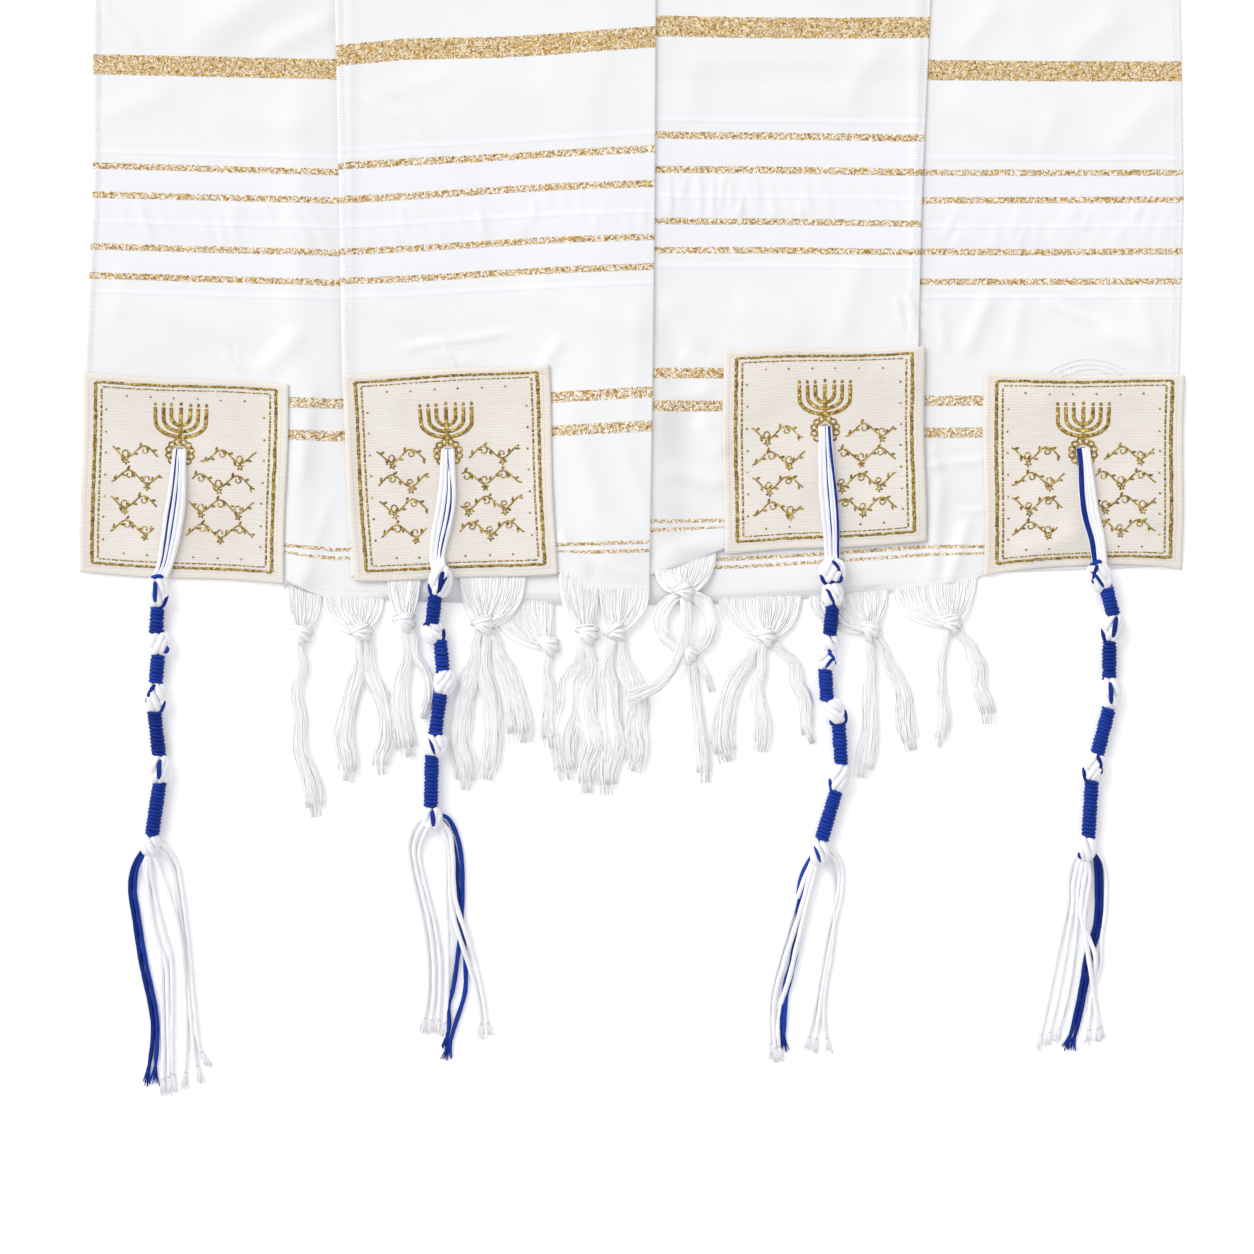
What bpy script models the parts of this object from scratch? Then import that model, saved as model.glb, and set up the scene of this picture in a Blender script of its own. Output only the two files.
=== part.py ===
"""A fringed prayer shawl laid flat like a stole, with both ends side by side.

One rectangular cloth is folded once along its length, off centre, so that a
wide panel lies below and a narrow panel lies on top of it. The folded strip
runs up on the left, turns over a mitre fold, crosses behind the neck, turns
over a second mitre fold and comes down on the right. Each corner of the cloth
carries a square patch, and a knotted corner tassel comes out of its eyelet.
The two hems carry a knotted fringe.

Plan sizes are in plan units: x runs to the right and y runs down the sheet.
"""

import math

import bmesh
import bpy
import numpy as np

# ---------------------------------------------------------------- sizes
UNIT = 0.52e-3  # metres in one plan unit
PLAN_ORIGIN = (632.0, -166.0)  # the plan point that lies over the model's origin

CLOTH = 1.2e-3  # wall of the cloth
GAP = 0.3e-3  # clearance between pieces that touch
LEVEL = CLOTH + GAP  # from one layer of cloth to the next
PATCH = 1.0e-3  # wall of a corner patch
TURN_HEIGHT = 8.7e-3  # top of the neck stretch, above the surface
OVERLAP_LIFT = 2 * LEVEL  # how far the left end climbs onto the right end
RAMP = (40.0, 14.0)  # the climb starts and ends this far short of the right end's fold

NECK_LOW, NECK_HIGH = -625.0, -1148.0  # lower and upper edge of the neck stretch

EYELET = 2.9e-3  # radius of the eyelet in a patch
BUNDLE = 2.6e-3  # radius of the strings between the eyelet and the first knot
WINDING = 4.15e-3  # radius of the wound stretches of a corner tassel
KNOT = 6.2e-3  # radius of its knots
LAST_KNOT = 5.1e-3  # radius of the knot above the loose ends
TAIL = 4.6e-3  # height of its loose ends on the surface

# Edges of the folded strip, read down the sheet.
EDGES = (
    # y, left selvage, left front selvage, left fold, right fold, right front selvage, right selvage
    (-1200.0, 93.0, 263.0, 616.0, 655.0, 1008.0, 1178.0),
    (-600.0, 93.0, 263.0, 616.0, 655.0, 1008.0, 1178.0),
    (-400.0, 93.0, 298.0, 634.0, 640.0, 975.0, 1178.0),
    (-200.0, 93.0, 324.0, 648.0, 624.0, 948.0, 1179.0),
    (0.0, 93.0, 335.0, 656.0, 616.0, 931.0, 1181.0),
    (200.0, 92.0, 339.0, 655.0, 616.0, 922.0, 1184.0),
    (370.0, 84.0, 342.0, 653.0, 616.0, 918.0, 1180.0),
    (620.0, 83.0, 353.0, 649.0, 616.0, 918.0, 1181.0),
)
Y, LEFT_EDGE, LEFT_FRONT, LEFT_FOLD, RIGHT_FOLD, RIGHT_FRONT, RIGHT_EDGE = range(7)

# Height of each hem, read across the sheet.
HEMS = {
    # panel: (x, y of the hem)
    "left_back": ((83, 569), (284, 580), (322, 598), (430, 602), (538, 604), (660, 604)),
    "left_front": ((353, 577), (557, 572), (591, 591), (660, 591)),
    "right_front": ((610, 577), (652, 575), (690, 562), (724, 549), (918, 538)),
    "right_back": ((610, 606), (718, 604), (817, 598), (913, 590), (975, 580), (990, 573), (1185, 566)),
}

# Corner patches, with their corners read clockwise from the top left.
PATCHES = {
    # name: (top left, top right, bottom right, bottom left, eyelet, layer below, rise of the bottom edge)
    "patch_1": ((83, 373), (289, 384), (284, 584), (79, 573), (180, 453), 0, 0.0),
    "patch_2": ((341, 374), (549, 364.5), (557, 574), (354, 581), (448, 453), 1, -1.5),
    "patch_3": ((723, 350), (924, 347), (926, 542), (724, 553.5), (825, 430), 1, 0.0),
    "patch_4": ((984, 373), (1185, 375), (1182, 570), (984, 577), (1083, 452), 0, 9.0),
}

# Corner tassels: strings from the eyelet to the first knot, then wound stretches between knots.
CORNER_TASSELS = {
    # name: rows of (x, y, height of the middle in mm, size), size B bundle, K knot, W winding, E last knot
    "tzitzit_1": (
        (180, 453, 5.4, "B"), (177, 500, 5.4, "B"), (168, 555, 5.4, "B"), (160, 579, 6.2, "B"),
        (157.6, 592, 6.8, "K"), (158, 608, 5.2, "W"), (156.4, 633, 5.2, "W"), (160, 643, 6.4, "K"),
        (158.5, 655, 5.2, "W"), (156.2, 682, 5.2, "W"), (155.7, 697, 6.4, "K"), (154.7, 712, 5.2, "W"),
        (159.5, 755, 5.2, "W"), (160, 769, 6.4, "K"), (160, 783, 5.2, "W"), (152.4, 835, 5.4, "W"),
        (151, 844, 5.4, "E"),
    ),
    "tzitzit_2": (
        (448, 453, 6.9, "B"), (447, 500, 6.9, "B"), (438, 550, 6.9, "B"), (439, 568, 8.6, "B"),
        (441, 582, 10.9, "K"), (435.5, 597, 8.4, "W"), (432.5, 624, 6.6, "W"), (433.5, 632, 6.6, "K"),
        (440.6, 642, 5.4, "W"), (443, 671, 5.2, "W"), (445, 682, 6.4, "K"), (440.6, 694, 5.2, "W"),
        (435.5, 734, 5.2, "W"), (435.5, 745, 6.4, "K"), (432, 756, 5.2, "W"), (431, 807, 5.4, "W"),
        (432.7, 818, 5.4, "E"),
    ),
    "tzitzit_3": (
        (825, 430, 6.9, "B"), (827, 480, 6.9, "B"), (831, 530, 6.9, "B"), (832, 562, 7.6, "B"),
        (832.7, 581, 8.4, "K"), (832, 608, 7.2, "W"), (829.4, 634, 6.6, "W"), (829, 650, 6.6, "K"),
        (825, 670, 5.4, "W"), (826.8, 700, 5.2, "W"), (833.7, 712, 6.4, "K"), (838.5, 724, 5.2, "W"),
        (841, 764, 5.2, "W"), (839, 778, 6.4, "K"), (836, 791, 5.2, "W"), (821.4, 839, 5.4, "W"),
        (819.7, 852, 5.4, "E"),
    ),
    "tzitzit_4": (
        (1083, 452, 5.4, "B"), (1089.6, 507, 5.4, "B"), (1097, 540, 5.4, "B"), (1099, 560, 7.2, "B"),
        (1098, 577, 9.6, "K"), (1105, 587, 8.0, "W"), (1112, 613, 6.0, "W"), (1112.3, 627, 6.4, "K"),
        (1109, 643, 5.2, "W"), (1108.8, 678, 5.2, "W"), (1110, 693, 6.4, "K"), (1108.5, 709, 5.2, "W"),
        (1097, 753, 5.2, "W"), (1093.6, 767, 6.4, "K"), (1091.4, 781, 5.2, "W"), (1088, 836, 5.4, "W"),
        (1085.5, 848, 5.4, "E"),
    ),
}
TASSEL_SIZE = {"B": BUNDLE, "K": KNOT, "W": WINDING, "E": LAST_KNOT}

# Reach of the loose ends below the last knot.
TAILS = {
    # name: rows of (y, left reach, right reach)
    "tzitzit_1": ((872, 130, 181), (912, 133, 183), (960, 140, 190), (1030, 147, 195), (1096, 143, 211)),
    "tzitzit_2": ((845, 406, 459), (890, 410, 466), (940, 420, 472), (1000, 427, 485), (1058, 428, 491)),
    "tzitzit_3": ((876, 799, 842), (900, 793, 842), (930, 785, 839), (965, 776, 836), (1060, 767, 832)),
    "tzitzit_4": ((876, 1067, 1105), (915, 1063, 1105), (950, 1057, 1101), (995, 1048, 1099), (1049, 1036, 1102)),
}

# Fringe tassels: a fan of threads from the hem into a knot, then one to three loose bundles.
FRINGE = {
    # name: (hem from, hem to, height of the fan in mm, (knot x, y, height in mm), bundles as rows of (x, y, width) with an optional height in mm)
    "fringe_01": ((286, 588), (321, 601), 0, (302, 635, 0.1), (((299, 720, 13), (303, 770, 15), (315, 817, 21)),)),
    "fringe_02": ((324, 602), (384, 604), 0, (362, 632, 0.1), (((350, 700, 14), (346, 781, 19)), ((378, 700, 14), (383, 776, 18)))),
    "fringe_03": ((388, 580), (421, 580), 1.5, (405, 622, 0.1), (((407, 690, 15), (409, 757, 19)),)),
    "fringe_04": ((462, 580), (524, 578), 1.5, (484, 625, 0.1), (((467, 710, 15), (466, 792, 18)), ((490, 710, 12), (492, 782, 15)), ((512, 690, 15), (522, 743, 30)))),
    "fringe_05": ((508, 607), (554, 607), 0, (549, 646, 0.1), (((550, 690, 10), (552, 745, 12)),)),
    "fringe_06": ((562, 584), (596, 595), 4.6, (588, 634, 0.1), (((572, 700, 13), (571, 770, 15)), ((591, 705, 13), (591, 790, 15)))),
    "fringe_07": ((604, 595), (647, 595), 4.6, (616, 632, 0.1), (((611, 700, 13), (611, 797, 15)), ((632, 700, 15), (634, 780, 19)))),
    "fringe_08": (
        (658, 577), (714, 557), 1.6, (684, 592, 1.6),
        (((686, 612, 34, 1.6), (688, 626, 44), (688, 655, 20), (694, 715, 14), (704, 782, 16)), ((689, 640, 12), (686, 660, 12, 1.2), (668, 683, 12, 4.6), (628, 699, 14, 4.6))),
    ),
    "fringe_09": ((720, 608), (802, 602), 0, (766, 637, 0.1), (((736, 680, 14), (727, 762, 22)), ((758, 690, 11), (760, 752, 14)), ((797, 672, 13), (811, 743, 14)))),
    "fringe_10": ((852, 599), (888, 596), 0, (870, 631, 0.1), (((866, 700, 13), (862, 778, 15)), ((898, 680, 14), (914, 749, 19)))),
    "fringe_11": ((896, 595), (976, 584), 0, (951, 624, 0.1), (((943, 690, 11), (938, 748, 13)), ((974, 655, 12), (987, 723, 17)))),
}
FAN = 1.3e-3  # thickness of the threads at the hem
FRINGE_KNOT = (11.0, 5.2e-3)  # half width in plan units, and height, of a fringe knot
FRINGE_BUNDLE = 3.6e-3  # height of a loose bundle

ROLL = CLOTH + GAP / 2  # outer radius of the lengthwise fold
BACK_CELLS, FRONT_CELLS, ROLL_CELLS, LONG_CELLS, TURN_CELLS, NECK_CELLS = 7, 4, 4, 13, 5, 6


# ---------------------------------------------------------------- helpers
def on_plan(x, y, z):
    """A plan point and a height in metres, in the model's frame."""
    return ((x - PLAN_ORIGIN[0]) * UNIT, (PLAN_ORIGIN[1] - y) * UNIT, z)


def edge_at(column, y):
    rows = np.array(EDGES)
    return float(np.interp(y, rows[:, Y], rows[:, column]))


def hem_at(panel, x):
    rows = np.array(HEMS[panel], float)
    return float(np.interp(x, rows[:, 0], rows[:, 1]))


def smooth_step(t):
    t = min(max(t, 0.0), 1.0)
    return t * t * (3 - 2 * t)


def finish_material(name, colour, roughness):
    material = bpy.data.materials.new(name)
    material.use_nodes = True
    shader = material.node_tree.nodes["Principled BSDF"]
    shader.inputs["Base Color"].default_value = (*colour, 1.0)
    shader.inputs["Roughness"].default_value = roughness
    shader.inputs["Metallic"].default_value = 0.0
    return material


def add_mesh(name, points, faces, material, shown=True):
    mesh = bpy.data.meshes.new(name)
    mesh.from_pydata([tuple(p) for p in points], [], faces)
    shape = bmesh.new()
    shape.from_mesh(mesh)
    bmesh.ops.recalc_face_normals(shape, faces=shape.faces)
    shape.to_mesh(mesh)
    shape.free()
    mesh.materials.append(material)
    obj = bpy.data.objects.new(name, mesh)
    bpy.context.scene.collection.objects.link(obj)
    if not shown:
        obj.hide_render = True
        obj.display_type = "WIRE"
    return obj


def sheet_solid(name, outer, inner, material):
    """A closed wall between two grids of points, outer[row][column] and inner[row][column]."""
    rows, columns = len(outer), len(outer[0])
    points = [p for grid in (outer, inner) for row in grid for p in row]

    def at(side, row, column):
        return (side * rows + row) * columns + column

    faces = []
    for r in range(rows - 1):
        for c in range(columns - 1):
            faces.append((at(0, r, c), at(0, r, c + 1), at(0, r + 1, c + 1), at(0, r + 1, c)))
            faces.append((at(1, r, c), at(1, r + 1, c), at(1, r + 1, c + 1), at(1, r, c + 1)))
    for r in range(rows - 1):
        for c in (0, columns - 1):
            faces.append((at(0, r, c), at(0, r + 1, c), at(1, r + 1, c), at(1, r, c)))
    for c in range(columns - 1):
        for r in (0, rows - 1):
            faces.append((at(0, r, c), at(1, r, c), at(1, r, c + 1), at(0, r, c + 1)))
    return add_mesh(name, points, faces, material)


# ---------------------------------------------------------------- the folded cloth
# A station across the cloth is (panel, share of that panel, bulge of the fold, height of the wall's two faces).
def stations():
    """Across the cloth: the wide panel from its selvage, round the lengthwise fold, and back to the front selvage."""
    near = (0.866, 0.88, 0.894, 0.908, 0.922, 0.936, 0.965)  # the climb onto the other end
    wide = sorted({*np.linspace(0, 0.84, BACK_CELLS).tolist(), 0.355, 0.42, *near, 0.99})
    narrow = sorted({0.015, 0.05, 0.105, 0.13, 0.155, 0.18, 0.205, 0.235, *np.linspace(0.31, 1, FRONT_CELLS).tolist()})
    found = [("back", share, (0.0, 0.0), (0.0, CLOTH)) for share in wide]
    for k in range(ROLL_CELLS + 1):
        angle = math.pi * k / ROLL_CELLS
        radii = (ROLL, GAP / 2)
        found.append((
            "fold",
            1.0 if angle <= math.pi / 2 else 0.0,
            tuple(r * math.sin(angle) for r in radii),
            tuple(ROLL - r * math.cos(angle) for r in radii),
        ))
    found += [("front", share, (0.0, 0.0), (CLOTH + LEVEL, LEVEL)) for share in narrow]
    return found


def across(side, station, y, face):
    """Plan x and height of a station at this plan y, on one end of the shawl."""
    panel, share, bulge, heights = station
    selvage, front, fold = (LEFT_EDGE, LEFT_FRONT, LEFT_FOLD) if side == "left" else (RIGHT_EDGE, RIGHT_FRONT, RIGHT_FOLD)
    out = 1.0 if side == "left" else -1.0
    turn = edge_at(fold, y) - out * ROLL / UNIT
    if panel == "back":
        x = edge_at(selvage, y) + share * (turn - edge_at(selvage, y))
    elif panel == "front":
        x = turn + share * (edge_at(front, y) - turn)
    else:
        x = turn + out * bulge[face] / UNIT
    z = heights[face]
    if side == "left":
        start = edge_at(RIGHT_FOLD, y)
        z += OVERLAP_LIFT * smooth_step((x - start + RAMP[0]) / (RAMP[0] - RAMP[1]))
    return x, z


def hem_of(side, station):
    """Where this station's line meets the hem. The two panels' hems differ, and the fold joins them."""
    panel = station[0]
    if panel == "fold":
        panel = "back" if station[1] else "front"
    y = 590.0
    for _ in range(4):
        y = hem_at(f"{side}_{panel}", across(side, station, y, 0)[0])
    return y


def mitre_y(side, station):
    """Where this station's line meets the mitre fold, at 45 degrees across the strip."""
    x = across(side, (station[0], station[1], (0.0, 0.0), station[3]), NECK_LOW, 0)[0]
    return NECK_LOW - (x - edge_at(LEFT_EDGE, NECK_LOW)) if side == "left" else NECK_LOW + (x - edge_at(RIGHT_EDGE, NECK_LOW))


def build_end(side, material):
    grids = []
    for face in (0, 1):
        grid = []
        for r in range(LONG_CELLS + 1):
            share = (r / LONG_CELLS) ** 1.15
            row = []
            for station in stations():
                low, high = hem_of(side, station), mitre_y(side, station) + GAP / UNIT
                y = low + (high - low) * share
                x, z = across(side, station, y, face)
                row.append(on_plan(x, y, z))
            grid.append(row)
        grids.append(grid)
    return sheet_solid(f"cloth_{side}_end", grids[0], grids[1], material)


def build_neck(material):
    """The neck stretch, face down on both ends, with the mitre fold at each side."""
    middle = TURN_HEIGHT / 2
    grids = []
    for face in (0, 1):
        columns = []
        for station in stations():
            column = []
            panel, share, bulge, heights = station
            radius = middle - heights[face]
            flat = (panel, share, (0.0, 0.0), heights)
            ends = {side: (across(side, flat, NECK_LOW, face)[0], mitre_y(side, station)) for side in ("left", "right")}
            swell = bulge[face] / UNIT
            for k in range(TURN_CELLS + 1):  # up over the left mitre
                turned = k / TURN_CELLS
                angle = math.pi * (1 - turned)
                reach = radius * math.sin(angle) / UNIT / math.sqrt(2)
                x, y = ends["left"]
                column.append(on_plan(x - reach + swell * (1 - turned), y - reach - swell * turned, middle + radius * math.cos(angle)))
            for k in range(1, NECK_CELLS):  # across
                t = k / NECK_CELLS
                x = ends["left"][0] + (ends["right"][0] - ends["left"][0]) * t
                y = ends["left"][1] + (ends["right"][1] - ends["left"][1]) * t
                column.append(on_plan(x, y - swell, middle + radius))
            for k in range(TURN_CELLS + 1):  # down over the right mitre
                turned = k / TURN_CELLS
                angle = math.pi * turned
                reach = radius * math.sin(angle) / UNIT / math.sqrt(2)
                x, y = ends["right"]
                column.append(on_plan(x + reach - swell * turned, y - reach - swell * (1 - turned), middle + radius * math.cos(angle)))
            columns.append(column)
        grids.append([[column[r] for column in columns] for r in range(len(columns[0]))])
    return sheet_solid("cloth_neck", grids[0], grids[1], material)


# ---------------------------------------------------------------- patches
PATCH_CELLS = 8


def build_patch(name, row, material):
    top_left, top_right, low_right, low_left, eyelet, layer, rise = row
    base = layer * LEVEL + CLOTH + GAP
    corners = [np.array(p, float) for p in (top_left, top_right, low_right, low_left)]
    grids = []
    for face in (0, 1):
        grid = []
        for r in range(PATCH_CELLS + 1):
            v = r / PATCH_CELLS
            line = []
            for c in range(PATCH_CELLS + 1):
                u = c / PATCH_CELLS
                p = (corners[0] * (1 - u) + corners[1] * u) * (1 - v) + (corners[3] * (1 - u) + corners[2] * u) * v
                lift = rise * v**6 * math.sin(math.pi * u)
                line.append(on_plan(p[0], p[1] - lift, base + PATCH * face))
            grid.append(line)
        grids.append(grid)
    patch = sheet_solid(name, grids[0], grids[1], material)
    bpy.ops.mesh.primitive_cylinder_add(vertices=12, radius=EYELET, depth=6 * PATCH, location=on_plan(*eyelet, base + PATCH / 2))
    cutter = bpy.context.object
    cutter.name = name + "_eyelet_cut"
    cutter.hide_render = True
    cutter.display_type = "WIRE"
    cut = patch.modifiers.new("Eyelet", "BOOLEAN")
    cut.operation = "DIFFERENCE"
    cut.object = cutter
    return patch


# ---------------------------------------------------------------- corner tassels
def smooth_route(rows, steps):
    """Points along a smooth curve through the rows of (x, y, z, radius), with this many steps in each span."""
    pts = np.array(rows, float)
    ghost = np.vstack([2 * pts[0] - pts[1], pts, 2 * pts[-1] - pts[-2]])
    route = []
    for i in range(1, len(ghost) - 2):
        p0, p1, p2, p3 = ghost[i - 1 : i + 3]
        for k in range(steps):
            t = k / steps
            route.append(0.5 * (2 * p1 + (p2 - p0) * t + (2 * p0 - 5 * p1 + 4 * p2 - p3) * t * t + (3 * p1 - p0 - 3 * p2 + p3) * t**3))
    route.append(pts[-1])
    return np.array(route)


def add_tube(name, route, material):
    """A round cord along rows of (x, y, z, radius), in metres, with closed ends."""
    curve = bpy.data.curves.new(name, "CURVE")
    curve.dimensions = "3D"
    curve.bevel_depth = 1.0
    curve.bevel_resolution = 2
    curve.use_fill_caps = True
    spline = curve.splines.new("POLY")
    spline.points.add(len(route) - 1)
    for point, (x, y, z, radius) in zip(spline.points, route):
        point.co = (x, y, z, 1.0)
        point.radius = radius
    curve.materials.append(material)
    obj = bpy.data.objects.new(name, curve)
    bpy.context.scene.collection.objects.link(obj)
    return obj


def ring(centre, along, half_width, low, high, sides=8):
    """A flattened round section across the direction `along`, between two heights."""
    sideways = np.array([-along[1], along[0]])
    points = []
    for k in range(sides):
        angle = 2 * math.pi * (k + 0.5) / sides
        offset = centre + sideways * half_width * math.cos(angle) / math.cos(math.pi / sides)
        z = (low + high) / 2 + (high - low) / 2 * math.sin(angle) / math.cos(math.pi / sides)
        points.append((offset[0], offset[1], z))
    return points


def ribbon(name, rows, material, shown=True, first=None):
    """A closed flattened body through rows of (x, y, half width, low, high), in metres."""
    rings = []
    for i, (x, y, half_width, low, high) in enumerate(rows):
        before, after = rows[max(i - 1, 0)], rows[min(i + 1, len(rows) - 1)]
        along = np.array([after[0] - before[0], after[1] - before[1]])
        if i == 0 and first is not None:
            along = np.array(first)
        along = along / np.linalg.norm(along)
        rings.append(ring(np.array([x, y]), along, half_width, low, high))
    sides = len(rings[0])
    points = [p for section in rings for p in section]
    faces = [
        (i * sides + k, i * sides + (k + 1) % sides, (i + 1) * sides + (k + 1) % sides, (i + 1) * sides + k)
        for i in range(len(rings) - 1)
        for k in range(sides)
    ]
    faces.append(tuple(range(sides))[::-1])
    faces.append(tuple((len(rings) - 1) * sides + k for k in range(sides)))
    return add_mesh(name, points, faces, material, shown)


def build_corner_tassel(name, rows, cord_material, wound_material):
    route = [(*on_plan(x, y, z / 1000), TASSEL_SIZE[size]) for x, y, z, size in rows]
    strings = sum(size == "B" for _, _, _, size in rows)
    head = smooth_route(route[: strings + 1], 3)
    head[:, 3] = BUNDLE
    # The strings stop short of the first knot, in line with it.
    knot = np.array(route[strings][:3])
    away = head[-2, :3] - knot
    away /= np.linalg.norm(away)
    keep = np.linalg.norm(head[:, :3] - knot, axis=1) > KNOT + 1.2e-3
    start = knot + away * (KNOT * 0.72)
    head = np.vstack([head[keep], [*(start + away * 1.5e-3), BUNDLE], [*(start + away * GAP), BUNDLE]])
    add_tube(name + "_strings", head, cord_material)
    # Each knot swells between two waists.
    stem = [(*start, WINDING * 0.9)]
    for i, (x, y, z, radius) in enumerate(route[strings:]):
        here = np.array([x, y, z])
        if radius == KNOT and i:
            before, after = np.array(route[strings + i - 1][:3]), route[strings + i + 1 : strings + i + 2]
            stem.append((*(here + (before - here) * 0.45), KNOT * 0.92))
            stem.append((*here, KNOT))
            if after:
                stem.append((*(here + (np.array(after[0][:3]) - here) * 0.4), KNOT * 0.92))
        else:
            stem.append((x, y, z, radius))
    add_tube(name + "_stem", stem, wound_material)
    # The loose ends fan out over the surface from the last knot.
    end, before = np.array(stem[-1][:2]), np.array(stem[-2][:2])
    along = (end - before) / np.linalg.norm(end - before)
    top = end + along * GAP * 1.4
    fan = [(*top, LAST_KNOT * 0.95, 0.3e-3, 2 * LAST_KNOT)]
    for y, x0, x1 in TAILS[name]:
        cx, cy, _ = on_plan((x0 + x1) / 2, y, 0)
        fan.append((cx, cy, (x1 - x0) / 2 * UNIT, 0.1e-3, TAIL))
    ribbon(name + "_loose_ends", fan, cord_material, first=along)


# ---------------------------------------------------------------- fringe
def build_fringe(name, row, material):
    hem_from, hem_to, fan_low, knot, bundles = row
    p, q = np.array(on_plan(*hem_from, 0)[:2]), np.array(on_plan(*hem_to, 0)[:2])
    k, knot_low = np.array(on_plan(*knot)[:2]), knot[2] / 1000
    middle = (p + q) / 2
    hemwise = (q - p) / np.linalg.norm(q - p)
    down = np.array([hemwise[1], -hemwise[0]])
    low = fan_low / 1000
    start = middle + down * GAP
    half = np.linalg.norm(q - p) / 2
    drop = np.linalg.norm(k - start)
    share = 0.35 if low == 0 else min(0.62, 26 * UNIT / drop)
    waist = start + (k - start) * share
    along = (k - start) / drop
    knot_half, knot_high = FRINGE_KNOT[0] * UNIT, FRINGE_KNOT[1]
    rows = [
        (*start, half, low, low + FAN),
        (*waist, half * (1 - share) + knot_half * share, low, low + FAN * 1.4),
        (*(k - along * min(knot_half, drop * 0.3)), knot_half, knot_low, knot_low + knot_high),
        (*(k + along * knot_half), knot_half * 0.9, knot_low, knot_low + knot_high * 0.9),
    ]
    head = ribbon(name, rows, material, first=down)
    for i, bundle in enumerate(bundles):
        if bundle[0][1] - knot[1] > 30 and len(bundle[0]) == 3 and name != "fringe_08":
            towards = np.array(on_plan(bundle[0][0], bundle[0][1], 0)[:2]) - k
            towards /= np.linalg.norm(towards)
            part = [
                (*k, 5.5 * UNIT, 0.6e-3, 3.4e-3),
                (*(k + towards * knot_half), 6 * UNIT, 0.4e-3, 3.8e-3),
            ]
        elif i == 0:
            part = [(*k, 6 * UNIT, knot_low + 0.4e-3, knot_low + 3.6e-3)]
        else:
            part = []
        for x, y, width, *height in bundle:
            bottom = (height[0] if height else 0.1) / 1000
            tall = FRINGE_BUNDLE if width < 30 else FRINGE_BUNDLE * 0.7
            part.append((*on_plan(x, y, 0)[:2], width / 2 * UNIT, bottom, bottom + tall))
        helper = ribbon(f"{name}_bundle_{i + 1}", part, material, shown=False)
        join = head.modifiers.new(f"Bundle {i + 1}", "BOOLEAN")
        join.operation = "UNION"
        join.object = helper


# ---------------------------------------------------------------- build
def main():
    for obj in list(bpy.data.objects):
        bpy.data.objects.remove(obj, do_unlink=True)
    cloth = finish_material("white_satin", (0.93, 0.94, 0.96), 0.55)
    weave = finish_material("cream_ribbed_weave", (0.87, 0.82, 0.74), 0.8)
    cord = finish_material("white_cord", (0.92, 0.92, 0.94), 0.7)
    wound = finish_material("blue_winding", (0.02, 0.06, 0.38), 0.6)
    thread = finish_material("white_thread", (0.92, 0.92, 0.93), 0.6)
    build_end("left", cloth)
    build_end("right", cloth)
    build_neck(cloth)
    for name, row in PATCHES.items():
        build_patch(name, row, weave)
    for name, rows in CORNER_TASSELS.items():
        build_corner_tassel(name, rows, cord, wound)
    for name, row in FRINGE.items():
        build_fringe(name, row, thread)
    for obj in bpy.data.objects:
        if obj.type == "MESH":
            obj.data.shade_smooth()
            obj.data.set_sharp_from_angle(angle=math.radians(40))


main()
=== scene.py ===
"""Looks of a fringed prayer shawl laid flat like a stole, seen from straight above.

Plan units: x runs to the right and y runs down the sheet; one unit is UNIT metres.
Heights and thicknesses are in millimetres where a name or a table says mm.
"""

import math
import random

import bpy
import numpy as np
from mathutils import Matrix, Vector


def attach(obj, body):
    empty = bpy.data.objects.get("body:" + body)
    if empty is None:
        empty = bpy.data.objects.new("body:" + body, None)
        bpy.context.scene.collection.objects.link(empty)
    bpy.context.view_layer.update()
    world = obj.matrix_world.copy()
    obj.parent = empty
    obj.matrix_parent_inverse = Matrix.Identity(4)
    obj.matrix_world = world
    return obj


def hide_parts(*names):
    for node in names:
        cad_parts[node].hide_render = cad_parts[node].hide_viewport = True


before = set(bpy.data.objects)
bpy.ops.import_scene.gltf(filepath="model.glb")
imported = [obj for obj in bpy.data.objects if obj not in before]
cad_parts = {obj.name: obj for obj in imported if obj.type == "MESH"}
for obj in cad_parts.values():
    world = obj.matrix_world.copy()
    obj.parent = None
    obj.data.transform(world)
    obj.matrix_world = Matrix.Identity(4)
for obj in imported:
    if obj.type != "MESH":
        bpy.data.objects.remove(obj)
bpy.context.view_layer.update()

# ---------------------------------------------------------------- sizes
UNIT = 0.52e-3
PLAN_ORIGIN = (632.0, -166.0)
PLAN_CENTRE = (627.0, 627.0)  # the middle of the view
PLAN_WIDTH = 1254.0

WALL = 0.5  # mm, thickness of the cloth as it shows
LOW, HIGH = 0.38, 1.25  # mm, middle of the cloth's wall: wide panel below, narrow panel above
PATCH_WALL = 0.7  # mm
PATCH_OFF = 1.05  # mm, from the middle of the cloth's wall to the middle of a patch
TURN_HEIGHT = 8.7  # mm, top of the neck stretch
OVERLAP_LIFT = 1.55  # mm, the climb of the left end onto the right end
RAMP = (130.0, 8.0)
NECK_LOW = -625.0
STRAND = 2.5  # mm, thickness of a tassel string
WINDING = 3.85  # mm, outer radius of the wound stretches
PITCH = 1.92  # mm, from one winding to the next
TAIL_LOW = 1.2  # mm, height of the middle of a loose end on the surface

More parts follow.
